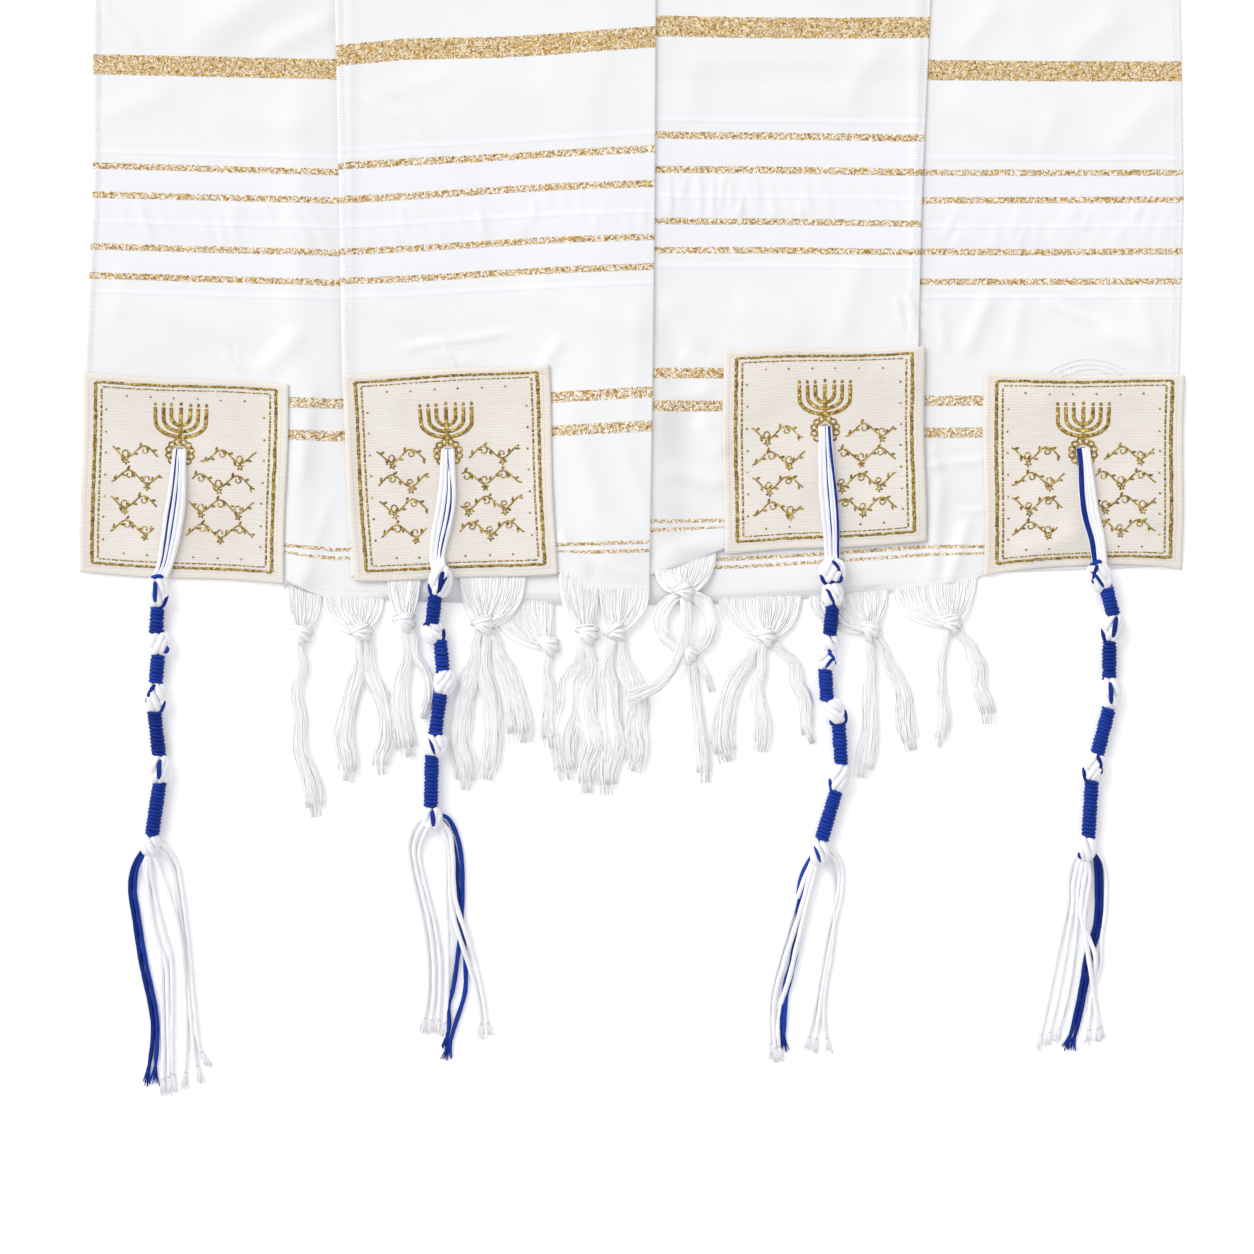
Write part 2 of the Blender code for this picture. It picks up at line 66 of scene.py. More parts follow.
EDGES = np.array((
    # y, left selvage, left front selvage, left fold, right fold, right front selvage, right selvage
    (-1200.0, 93.0, 263.0, 616.0, 655.0, 1008.0, 1178.0),
    (-600.0, 93.0, 263.0, 616.0, 655.0, 1008.0, 1178.0),
    (-400.0, 93.0, 298.0, 634.0, 640.0, 975.0, 1178.0),
    (-200.0, 93.0, 324.0, 648.0, 624.0, 948.0, 1179.0),
    (0.0, 93.0, 335.0, 656.0, 616.0, 931.0, 1181.0),
    (200.0, 92.0, 339.0, 655.0, 616.0, 922.0, 1184.0),
    (370.0, 84.0, 342.0, 653.0, 616.0, 918.0, 1180.0),
    (620.0, 83.0, 353.0, 649.0, 616.0, 918.0, 1181.0),
))
Y, LEFT_EDGE, LEFT_FRONT, LEFT_FOLD, RIGHT_FOLD, RIGHT_FRONT, RIGHT_EDGE = range(7)

HEMS = {
    # panel: (x, y of the hem)
    "left_back": ((83, 569), (284, 580), (322, 598), (430, 602), (538, 604), (660, 604)),
    "left_front": ((353, 577), (557, 572), (591, 591), (660, 591)),
    "right_front": ((610, 577), (652, 575), (690, 562), (724, 549), (918, 538)),
    "right_back": ((610, 606), (718, 604), (817, 598), (913, 590), (975, 580), (990, 573), (1185, 566)),
}

# The woven pattern, counted up from the hem: where each line lies on every panel.
LINES = {"pair": 44.0, "low_wide": 163.0, "high_wide": 196.0, "thin_1": 319.0, "thin_2": 349.0, "thin_3": 400.0, "thin_4": 430.0, "band": 535.0}
WEAVE = {
    # panel: x of the readings, then the y of each line there
    "left_back": (
        (90, 335),
        {"pair": (530, 554), "low_wide": (430, 436), "high_wide": (397, 403.5), "thin_1": (275, 282.5), "thin_2": (246, 252.5), "thin_3": (194, 200), "thin_4": (165, 172), "band": (64, 69)},
    ),
    "left_front": (
        (337, 404, 500, 557, 655),
        {"pair": (545, 547, 549, 549, 546), "low_wide": (436, 435, 433, 431, 426), "high_wide": (403, 402, 399, 397.5, 392), "thin_1": (281, 279, 273, 270, 266.5), "thin_2": (252, 249, 243, 240, 237), "thin_3": (200, 196.5, 190, 187, 184), "thin_4": (166, 162, 157, 153.5, 149), "band": (55.5, 48.5, 47, 44, 37)},
    ),
    "right_front": (
        (656, 760, 840, 925),
        {"pair": (525.5, 524, 523, 522), "low_wide": (406, 406, 406, 406), "high_wide": (373, 373, 373, 373), "thin_1": (250, 250, 251, 252), "thin_2": (221, 221.5, 222.5, 224), "thin_3": (169.6, 170, 171, 172.6), "thin_4": (134.8, 135.5, 136.5, 138), "band": (25.6, 27.5, 28, 27)},
    ),
    "right_back": (
        (712, 828, 925, 1050, 1180),
        {"pair": (565, 558, 551, 550, 549), "low_wide": (433, 433, 432.5, 432, 431), "high_wide": (401, 401, 400.7, 400, 399), "thin_1": (281.5, 281.5, 281.5, 281.5, 281), "thin_2": (251.5, 251.5, 251.5, 252, 251), "thin_3": (200, 200, 200, 199.5, 199), "thin_4": (172.5, 172.5, 172.5, 172.5, 172.5), "band": (69.5, 69.5, 69.5, 71, 71)},
    ),
}

# Creases and soft folds: each runs along a line, as a ridge (up) or trough (down) of this height and half width.
CREASES = {
    # panel: rows of (x, y, x, y, height in mm, half width)
    "left_back": (
        (101, 4, 138, 45, 0.9, 4.5), (225, 353, 240, 369, 0.9, 3.0), (236, 352, 246, 372, 0.5, 2.5),
        (118, 300, 250, 334, 1.0, 15.0), (130, 262, 110, 330, 0.5, 12.0), (300, -30, 190, 46, 1.8, 22.0), (330, 20, 262, 52, 1.1, 12.0),
        (100, 118, 170, 92, 0.7, 13.0), (215, 108, 300, 132, 0.8, 14.0), (300, 332, 262, 372, 1.3, 11.0),
        (312, 390, 302, 480, 1.0, 8.0), (296, 360, 297, 600, 2.3, 22.0), (300, 90, 298, 330, 1.2, 20.0), (330, 500, 300, 590, 0.6, 7.0),
        (96, -200, 240, -80, 1.6, 20.0), (300, -260, 210, -120, 1.8, 26.0), (120, -420, 250, -300, 1.6, 24.0),
        (150, -560, 240, -430, 1.8, 26.0), (110, -600, 170, -520, 1.2, 18.0),
    ),
    "left_front": (
        (343, 158, 430, 154, 0.55, 3.0), (415, 129, 484, 195, 0.9, 3.6), (428, 124, 500, 190, -0.5, 6.0), (407, 347, 505, 333, 1.0, 4.0), (444, 347, 456, 367, 0.6, 2.8),
        (430, 352, 470, 362, 0.5, 5.0), (343, 92, 402, 118, 0.6, 6.0), (372, 96, 452, 76, 0.5, 9.0), (545, 70, 600, 136, 0.9, 15.0), (610, 16, 584, 120, 0.7, 18.0),
        (522, 292, 640, 330, 0.9, 15.0), (560, 340, 540, 372, 0.9, 7.0), (640, 300, 632, 420, 0.8, 12.0), (566, 392, 600, 520, 0.8, 13.0), (620, 440, 650, 520, 0.8, 10.0),
        (560, 536, 588, 574, 1.6, 6.0), (580, 556, 640, 578, 0.9, 7.0), (352, 300, 412, 322, 0.6, 9.0),
        (470, -40, 560, -10, 1.2, 18.0), (360, -120, 480, -60, 1.5, 18.0), (620, -160, 500, -200, 1.3, 22.0), (330, -300, 420, -220, 1.2, 18.0),
        (600, -420, 480, -360, 1.6, 24.0), (300, -480, 390, -520, 1.5, 22.0), (420, -620, 520, -560, 1.7, 26.0), (290, -700, 380, -640, 1.4, 20.0),
    ),
    "right_front": (
        (906, 296, 918, 312, 1.1, 3.0), (896, 300, 904, 326, 0.7, 4.0), (910, 318, 922, 340, 0.8, 3.5),
        (664, 300, 700, 352, 1.3, 12.0), (712, 392, 664, 402, 1.2, 8.0), (700, 420, 724, 452, 1.3, 9.0), (668, 470, 722, 486, 1.4, 9.0), (680, 356, 716, 366, 0.8, 7.0),
        (694, 60, 690, 118, 0.7, 14.0), (772, 92, 860, 110, 0.8, 16.0), (740, 300, 800, 338, 0.9, 16.0), (860, 262, 838, 340, 0.8, 14.0), (884, 44, 846, 96, 0.8, 13.0),
        (768, -40, 860, -10, 1.3, 18.0), (900, -160, 800, -90, 1.5, 20.0), (680, -180, 760, -260, 1.4, 20.0), (940, -300, 860, -360, 1.4, 20.0),
        (720, -400, 820, -470, 1.6, 24.0), (980, -480, 900, -560, 1.4, 22.0), (800, -620, 900, -660, 1.7, 24.0),
    ),
    "right_back": (
        (1045, 302, 1090, 322, 1.0, 3.8), (1052, 296, 1100, 314, -0.5, 5.0), (926, 465, 982, 460, 0.9, 3.6), (958, 510, 984, 511, 0.8, 3.2), (930, 448, 940, 470, 0.9, 6.0),
        (990, 296, 966, 352, 1.1, 9.0), (1022, 300, 1012, 356, 0.7, 8.0), (1140, 296, 1156, 352, 0.9, 10.0), (1108, 330, 1160, 362, 0.8, 8.0), (940, 306, 944, 350, 0.8, 7.0),
        (952, 96, 1024, 142, 1.0, 15.0), (1120, 14, 1070, 56, 1.1, 16.0), (1000, 4, 960, 50, 0.9, 14.0), (1160, 100, 1110, 150, 0.8, 14.0), (1060, 104, 1040, 152, 0.6, 12.0),
        (940, 480, 932, 580, 1.3, 8.0), (968, 520, 948, 586, 1.2, 7.0), (760, 582, 860, 574, 0.8, 8.0), (840, 566, 900, 586, 0.8, 8.0), (722, 590, 760, 574, 0.7, 7.0),
        (960, -200, 1090, -120, 1.5, 20.0), (1150, -260, 1060, -190, 1.4, 20.0), (1100, -420, 1010, -340, 1.6, 24.0), (1150, -560, 1060, -470, 1.7, 26.0),
    ),
}

# Where the cloth stands up or curls, as a soft mound.
MOUNDS = {
    # panel: rows of (x, y, half width, half length, height in mm)
    "left_back": ((200, 10, 70, 30, 0.8), (150, 340, 60, 26, 0.9), (310, 575, 20, 12, 0.9)),
    "left_front": ((349, 300, 7, 400, 0.9), (610, 560, 34, 26, 1.2), (480, 95, 60, 30, 0.7), (600, 360, 30, 50, 0.9)),
    "right_front": ((698, 546, 26, 11, 3.0), (672, 560, 16, 12, 2.2), (916, 200, 7, 350, 0.8), (800, 320, 50, 24, 0.35), (690, 380, 24, 20, 0.8)),
    "right_back": ((1120, 340, 40, 18, 0.9), (965, 560, 22, 20, 1.0), (820, 585, 60, 10, 0.7)),
}

# Painted shade: spots where the cloth's colour is darkened beside the folds and the overlapping layers, where shade
# falls.
PAINTED_SHADE_SPOTS = {
    # panel: rows of (x, y, half width, half length, share)
    "left_back": ((334, 250, 9, 190, 0.30),),
    "left_front": ((600, 440, 45, 120, 0.10), (640, 250, 14, 160, 0.10)),
    "right_front": ((668, 432, 20, 62, 0.95), (684, 530, 22, 24, 0.85), (662, 330, 13, 60, 0.45), (655, 120, 10, 130, 0.25)),
    "right_back": ((938, 490, 20, 70, 0.40), (930, 250, 8, 170, 0.25)),
}

# The gathered zone between the middle stripes: short ridges that lean as they run down.
GATHERS = {
    # panel: rows of (from x, to x, spacing, half width, height in mm, lean)
    "left_back": ((98, 332, 15.0, 4.6, 0.62, 0.42),),
    "left_front": ((346, 520, 19.0, 5.4, 0.52, 0.30), (520, 650, 14.0, 4.2, 0.42, 0.12)),
    "right_front": ((660, 744, 7.6, 2.7, 0.60, 0.05), (744, 840, 12.0, 3.8, 0.50, 0.22), (840, 918, 17.0, 4.4, 0.30, 0.30)),
    "right_back": ((928, 1176, 17.0, 6.0, 0.60, -0.35), (935, 1170, 23.0, 7.0, 0.42, 0.75)),
}

PATCHES = {
    # name: (top left, top right, bottom right, bottom left, eyelet, panel below, rise of the bottom edge)
    "patch_1": ((83, 373), (289, 384), (284, 584), (79, 573), (180, 453), "left_back", 0.0),
    "patch_2": ((341, 374), (549, 364.5), (557, 574), (354, 581), (448, 453), "left_front", -1.5),
    "patch_3": ((723, 350), (924, 347), (926, 542), (724, 553.5), (825, 430), "right_front", 0.0),
    "patch_4": ((984, 373), (1185, 375), (1182, 570), (984, 577), (1083, 452), "right_back", 9.0),
}
# Soft waves of the patches, in shares of their width and height.
PATCH_WAVES = {
    # name: rows of (u, v, u, v, height in mm, half width)
    "patch_1": ((0.05, 0.08, 0.5, 0.02, 0.5, 0.08), (0.62, 0.30, 0.95, 0.55, 0.5, 0.10), (0.08, 0.92, 0.42, 0.86, 0.5, 0.08), (0.86, 0.75, 0.93, 0.98, 0.6, 0.06)),
    "patch_2": ((0.04, 0.10, 0.30, 0.16, 0.5, 0.08), (0.66, 0.62, 0.98, 0.70, 0.6, 0.10), (0.10, 0.70, 0.35, 0.96, 0.6, 0.08), (0.60, 0.92, 0.95, 0.95, 0.5, 0.06)),
    "patch_3": ((0.05, 0.06, 0.22, 0.30, 0.6, 0.08), (0.75, 0.10, 0.96, 0.22, 0.5, 0.08), (0.70, 0.78, 0.98, 0.90, 0.5, 0.09), (0.06, 0.80, 0.30, 0.95, 0.5, 0.08)),
    "patch_4": ((0.06, 0.10, 0.34, 0.16, 0.9, 0.07), (0.55, 0.08, 0.98, 0.12, 0.7, 0.09), (0.18, 0.92, 0.50, 0.80, 1.9, 0.08), (0.55, 0.84, 0.92, 0.96, 1.4, 0.08), (0.30, 0.55, 0.20, 0.90, 0.7, 0.09), (0.70, 0.50, 0.86, 0.78, 0.7, 0.09)),
}

CORNER_TASSELS = {
    # name: rows of (x, y, height of the middle in mm, size), size B bundle, K knot, W winding, E last knot
    "tzitzit_1": (
        (180, 453, 5.4, "B"), (177, 500, 5.4, "B"), (168, 555, 5.4, "B"), (160, 579, 6.2, "B"),
        (157.6, 592, 4.6, "K"), (158, 608, 3.7, "W"), (156.4, 633, 3.7, "W"), (160, 643, 4.2, "K"),
        (158.5, 655, 3.7, "W"), (156.2, 682, 3.7, "W"), (155.7, 697, 4.2, "K"), (154.7, 712, 3.7, "W"),
        (159.5, 755, 3.7, "W"), (160, 769, 4.2, "K"), (160, 783, 3.7, "W"), (152.4, 835, 3.9, "W"),
        (151, 844, 4.1, "E"),
    ),
    "tzitzit_2": (
        (448, 453, 6.9, "B"), (447, 500, 6.9, "B"), (438, 550, 6.9, "B"), (439, 568, 8.6, "B"),
        (441, 582, 7.0, "K"), (435.5, 597, 6.2, "W"), (432.5, 624, 5.2, "W"), (433.5, 632, 4.4, "K"),
        (440.6, 642, 3.9, "W"), (443, 671, 3.7, "W"), (445, 682, 4.2, "K"), (440.6, 694, 3.7, "W"),
        (435.5, 734, 3.7, "W"), (435.5, 745, 4.2, "K"), (432, 756, 3.7, "W"), (431, 807, 3.9, "W"),
        (432.7, 818, 4.1, "E"),
    ),
    "tzitzit_3": (
        (825, 430, 6.9, "B"), (827, 480, 6.9, "B"), (831, 530, 6.9, "B"), (832, 562, 7.6, "B"),
        (832.7, 581, 5.4, "K"), (832, 608, 6.4, "W"), (829.4, 634, 5.8, "W"), (829, 650, 4.4, "K"),
        (825, 670, 3.9, "W"), (826.8, 700, 3.7, "W"), (833.7, 712, 4.2, "K"), (838.5, 724, 3.7, "W"),
        (841, 764, 3.7, "W"), (839, 778, 4.2, "K"), (836, 791, 3.7, "W"), (821.4, 839, 3.9, "W"),
        (819.7, 852, 4.1, "E"),
    ),
    "tzitzit_4": (
        (1083, 452, 5.4, "B"), (1089.6, 507, 5.4, "B"), (1097, 540, 5.4, "B"), (1099, 560, 7.2, "B"),
        (1098, 577, 6.6, "K"), (1105, 587, 6.0, "W"), (1112, 613, 4.6, "W"), (1112.3, 627, 4.2, "K"),
        (1109, 643, 3.7, "W"), (1108.8, 678, 3.7, "W"), (1110, 693, 4.2, "K"), (1108.5, 709, 3.7, "W"),
        (1097, 753, 3.7, "W"), (1093.6, 767, 4.2, "K"), (1091.4, 781, 3.7, "W"), (1088, 836, 3.9, "W"),
        (1085.5, 848, 4.1, "E"),
    ),
}

# The strings over each patch: sideways offset at the eyelet, in the middle and at the knot, thickness in mm, B for blue.
STRINGS = {
    "tzitzit_1": ((-4.4, -7.8, -5.0, 2.9, "W"), (-1.4, -2.8, -1.7, 2.9, "W"), (1.6, 2.4, 1.6, 2.9, "W"), (4.4, 7.2, 4.6, 2.8, "W"), (-2.9, -5.4, -3.2, 1.1, "B"), (0.1, -0.3, -0.1, 0.8, "B")),
    "tzitzit_2": ((-4.2, -7.2, -4.6, 2.9, "W"), (-1.4, -2.4, -1.4, 2.9, "W"), (1.6, 2.4, 1.8, 2.9, "W"), (4.4, 6.8, 4.8, 2.7, "W"), (0.2, 4.7, 2.8, 1.0, "B"), (-0.6, -0.2, 0.2, 0.8, "B")),
    "tzitzit_3": ((-4.4, -6.6, -4.8, 2.8, "W"), (-1.6, -2.1, -1.6, 2.8, "W"), (1.6, 2.3, 1.6, 2.8, "W"), (4.4, 6.5, 4.8, 2.7, "W"), (0.0, 0.2, 0.0, 0.8, "B"), (3.8, 7.4, 5.4, 1.4, "B")),
    "tzitzit_4": ((-3.8, -6.6, -4.9, 2.8, "B"), (-1.0, -2.2, -1.6, 2.8, "W"), (1.8, 1.9, 1.4, 2.8, "W"), (4.4, 5.8, 4.4, 2.7, "W"), (-5.0, -9.2, -6.8, 1.2, "W")),
}

# How each knot of a tassel lies, from the top: one or two parts of (half width, height of the top in mm, blue slivers, which way it slants).
KNOTS = {
    "tzitzit_1": (
        ((6.9, 5.0, ("eye", "side", "waist"), 1),), ((7.2, 5.0, ("tip", "waist"), -1),), ((6.6, 5.0, ("hook", "side"), 1),), ((6.2, 4.9, ("eye",), -1),), ((5.8, 4.7, ("waist",), 1),),
    ),
    "tzitzit_2": (
        ((6.8, 5.0, ("groove", "eye", "side"), -1),), ((6.6, 4.9, ("side", "waist"), 1),), ((6.4, 4.9, (), -1),), ((6.8, 4.9, ("groove", "waist"), 1),), ((5.8, 4.7, ("eye",), -1),),
    ),
    "tzitzit_3": (
        ((7.4, 5.0, ("hook", "side", "tip"), -1), (6.2, 4.8, ("groove", "waist"), 1)), ((5.9, 4.9, (), 1), (6.0, 4.7, ("waist", "groove", "hook"), -1)), ((6.6, 4.9, ("tip", "side"), 1),), ((6.0, 4.8, ("side",), -1),), ((5.7, 4.7, ("groove",), 1),),
    ),
    "tzitzit_4": (
        ((7.0, 5.0, ("groove", "waist", "hook"), 1),), ((6.8, 5.0, ("side", "eye"), -1),), ((6.1, 4.9, ("eye",), 1),), ((6.6, 4.9, ("hook", "side"), -1),), ((5.9, 4.7, ("tip",), 1),),
    ),
}

# Loose ends below the last knot: rows of (x, y) with an optional 1 for a stretch that lies over another string.
LOOSE = {
    # name: rows of (W or B, route)
    "tzitzit_1": (
        ("B", ((149, 842), (134, 866), (130, 890), (133.5, 915), (140.5, 961), (151, 1011), (152.4, 1040), (146, 1085))),
        ("B", ((150, 844), (138, 866), (134.6, 890), (138, 914), (145, 959), (155.4, 1009), (157, 1040), (153.6, 1084))),
        ("W", ((153, 842, 1), (166, 847, 1), (177, 864), (182, 890), (186, 920), (190, 958), (194, 1003), (199, 1046), (209, 1067))),
        ("W", ((153, 845, 1), (164, 853, 1), (173, 870), (177.5, 896), (181.5, 926), (186, 962), (190, 1006), (194, 1050), (200.5, 1082))),
        ("W", ((152, 848, 1), (158, 864, 1), (169, 892, 1), (178, 924, 1), (183, 957, 1), (185.5, 1003), (186, 1045), (184, 1089))),
        ("W", ((150, 850), (144.5, 866), (146, 884), (153.5, 926), (160.5, 954), (162, 992), (163.4, 1056), (162.4, 1096))),
        ("W", ((151, 851), (150.5, 868), (155, 896), (164, 932), (171, 958), (172.5, 998), (172, 1050), (173.5, 1091))),
        ("W", ((150, 849), (147, 872), (150.5, 908), (157.5, 940), (166, 966), (167.6, 1004), (169, 1058), (168.5, 1094))),
    ),
    "tzitzit_2": (
        ("B", ((437, 815, 1), (448, 818, 1), (457, 836), (461.5, 859), (462.4, 886), (461.6, 916), (459, 945), (453.4, 987), (448.4, 1005), (449, 1027), (444, 1050))),
        ("B", ((436, 818), (445, 824), (452.6, 842), (456.8, 864), (457.6, 890), (458.6, 916), (464, 946), (465.6, 970), (464.6, 994), (456, 1022), (452.4, 1034), (446, 1060))),
        ("W", ((430, 816), (418, 822), (409, 840), (409.4, 860), (415, 889), (422.4, 921), (427.4, 957), (427.4, 996), (422, 1032))),
        ("W", ((430, 819), (421.4, 828), (414.6, 843), (415, 862), (421, 888), (428.6, 920), (433.4, 957), (433.6, 996), (429.6, 1034))),
        ("W", ((432, 820), (426, 832), (420, 848), (420.6, 864), (427, 892), (435, 924), (440, 958), (440, 996), (437.6, 1034))),
        ("W", ((436, 817, 1), (443.4, 832, 1), (446, 860, 1), (446, 900, 1), (448, 943, 1), (447, 1003), (443, 1037))),
        ("W", ((437, 816, 1), (449, 832, 1), (452.6, 852, 1), (454, 889, 1), (458, 910, 1), (465, 930, 1), (474, 958), (481, 987), (485.4, 1014), (490.6, 1037))),
        ("W", ((436, 819, 1), (446, 838, 1), (449.6, 862, 1), (450.6, 895, 1), (455, 922, 1), (462, 944, 1), (469.6, 968), (475.6, 990), (480, 1014), (480.6, 1038))),
    ),
    "tzitzit_3": (
        ("B", ((817, 849), (810.4, 859), (804, 870), (799.4, 886), (797.4, 906), (797.6, 922), (795, 940), (791.4, 962), (785, 986), (781, 1014), (780, 1042))),
        ("B", ((819, 850), (813.4, 861), (807, 874), (803, 892), (801.4, 910), (799.6, 930), (796.4, 950), (792, 972), (786, 998), (784.4, 1026), (783, 1050))),
        ("W", ((817, 852), (809, 868), (796, 902), (787, 933), (777.6, 965), (770.6, 994), (769, 1021), (772, 1058))),
        ("W", ((818, 853, 1), (811, 872, 1), (802, 905, 1), (792, 937, 1), (782.6, 967, 1), (775.4, 996), (773.6, 1024), (776, 1062))),
        ("W", ((819, 853, 1), (814, 876, 1), (806, 906, 1), (796.6, 946, 1), (789.6, 976, 1), (782, 1002), (778, 1030), (781, 1061))),
        ("W", ((822, 850), (833, 858), (839, 870), (838, 894), (830, 922), (825, 946), (818, 988), (806, 1051))),
        ("W", ((822, 848), (835, 853), (842.4, 868), (842, 894), (835, 924), (829.6, 950), (823, 988), (814, 1053))),
        ("W", ((821, 853), (829, 864), (833.6, 880), (834, 900), (834.6, 926), (831, 960), (825.6, 990), (824.4, 1022), (829, 1052))),
    ),
    "tzitzit_4": (
        ("B", ((1090, 846), (1095, 858), (1097, 886), (1096.4, 918), (1091.4, 940), (1086.4, 956), (1081.6, 986), (1076.6, 1011), (1071.6, 1032), (1065, 1049))),
        ("B", ((1090, 849), (1099, 862), (1101.4, 888), (1100.6, 920), (1095.6, 942), (1090.6, 960), (1085.8, 988), (1080.8, 1013), (1076, 1033), (1070, 1050))),
        ("W", ((1083, 849), (1074, 858), (1068.6, 876), (1067.6, 903), (1064, 922), (1057.6, 953), (1049.4, 994), (1038, 1049))),
        ("W", ((1083, 851), (1078, 864), (1073.6, 884), (1072.6, 908), (1069, 930), (1064.4, 962), (1057.6, 998), (1047, 1046))),
        ("W", ((1084, 852), (1081, 870), (1078, 892), (1077, 920), (1074, 954), (1068.6, 990), (1062, 1018), (1056, 1042))),
        ("W", ((1085, 853, 1), (1085.4, 872, 1), (1081.6, 896, 1), (1081.4, 920, 1), (1089.4, 940, 1), (1095.4, 958, 1), (1094.4, 986), (1098, 1041))),
        ("W", ((1086, 853), (1089.6, 876), (1086.4, 900, 1), (1084, 922, 1), (1087, 948, 1), (1091, 975, 1), (1095.8, 1003), (1102.4, 1039))),
        ("W", ((1088, 848, 1), (1098, 854, 1), (1105.6, 872), (1106, 906), (1102, 938), (1100.6, 966), (1091, 1000), (1088, 1044))),
    ),
}

FRINGE = {
    # name: (hem from, hem to, height of the fan in mm, (knot x, y, height in mm), bundles as rows of (x, y, width) with an optional height in mm)
    "fringe_01": ((286, 586), (321, 599), 0, (302, 635, 0.1), (((298, 690, 13), (301, 750, 15), (316, 817, 21)),)),
    "fringe_02": ((324, 598), (384, 601), 0, (362, 632, 0.1), (((353, 690, 17), (346, 740, 19), (345, 781, 22)), ((377, 690, 15), (384, 740, 16), (382, 775, 18)))),
    "fringe_03": ((388, 578), (421, 578), 1.0, (405, 622, 0.1), (((404, 680, 16), (409, 757, 20)), ((424, 674, 9), (423, 719, 10)))),
    "fringe_04": ((460, 578), (526, 576), 1.0, (484, 625, 0.1), (((468, 680, 18), (463, 740, 19), (466, 790, 22)), ((490, 700, 17), (487, 780, 20)), ((508, 672, 18), (522, 743, 30)))),
    "fringe_05": ((492, 602), (554, 603), 0, (549, 646, 0.1), (((548, 690, 14), (553, 748, 19)),)),
    "fringe_06": ((560, 574), (598, 590), 2.3, (588, 634, 0.1), (((572, 680, 22), (560, 730, 26), (568, 780, 24)), ((588, 690, 22), (596, 745, 25), (588, 793, 22)))),
    "fringe_07": ((600, 589), (649, 590), 2.5, (616, 632, 0.1), (((608, 690, 22), (614, 745, 25), (608, 795, 21)), ((630, 680, 22), (639, 730, 24), (634, 772, 25)))),
    "fringe_08": ((656, 572), (716, 553), 1.0, (684, 592, 1.6), ()),
    "fringe_09": ((720, 601), (802, 598), 0, (766, 637, 0.1), (((738, 672, 17), (726, 715, 19), (727, 762, 24)), ((757, 690, 14), (761, 752, 17)), ((795, 662, 13), (805, 700, 14), (812, 744, 15)))),
    "fringe_10": ((810, 598), (888, 592), 0, (870, 631, 0.1), (((868, 690, 14), (862, 778, 18)), ((895, 672, 15), (905, 705, 18), (914, 750, 21)))),
    "fringe_11": ((894, 591), (977, 578), 0, (951, 624, 0.1), (((942, 690, 12), (938, 748, 15)), ((972, 650, 13), (980, 685, 15), (988, 724, 18)))),
}


# ---------------------------------------------------------------- helpers
def on_plan(x, y, z_mm):
    """Plan points and heights in mm, as rows of points in the model's frame."""
    x, y, z = np.broadcast_arrays(np.asarray(x, float), np.asarray(y, float), np.asarray(z_mm, float))
    return np.stack([(x - PLAN_ORIGIN[0]) * UNIT, (PLAN_ORIGIN[1] - y) * UNIT, z / 1000], axis=-1)


def edge_at(column, y):
    return np.interp(y, EDGES[:, Y], EDGES[:, column])


def hem_at(panel, x):
    rows = np.array(HEMS[panel], float)
    return np.interp(x, rows[:, 0], rows[:, 1])


def smooth_step(t):
    t = np.clip(t, 0.0, 1.0)
    return t * t * (3 - 2 * t)


def smooth_line(points, step):
    """Points a step apart along a smooth curve through the rows; every column is carried along."""
    pts = np.array(points, float)
    if len(pts) == 2:
        pts = np.vstack([pts[0], (pts[0] + pts[1]) / 2, pts[1]])
    ghost = np.vstack([2 * pts[0] - pts[1], pts, 2 * pts[-1] - pts[-2]])
    fine = []
    for i in range(1, len(ghost) - 2):
        p0, p1, p2, p3 = ghost[i - 1 : i + 3]
        t = np.linspace(0, 1, 25)[:-1, None]
        fine.append(0.5 * (2 * p1 + (p2 - p0) * t + (2 * p0 - 5 * p1 + 4 * p2 - p3) * t * t + (3 * p1 - p0 - 3 * p2 + p3) * t**3))
    fine = np.vstack([*fine, pts[-1:]])
    run = np.concatenate([[0], np.cumsum(np.linalg.norm(np.diff(fine[:, :3], axis=0), axis=1))])
    count = max(4, int(round(run[-1] / step)))
    at = np.linspace(0, run[-1], count + 1)
    return np.stack([np.interp(at, run, fine[:, k]) for k in range(fine.shape[1])], axis=1)


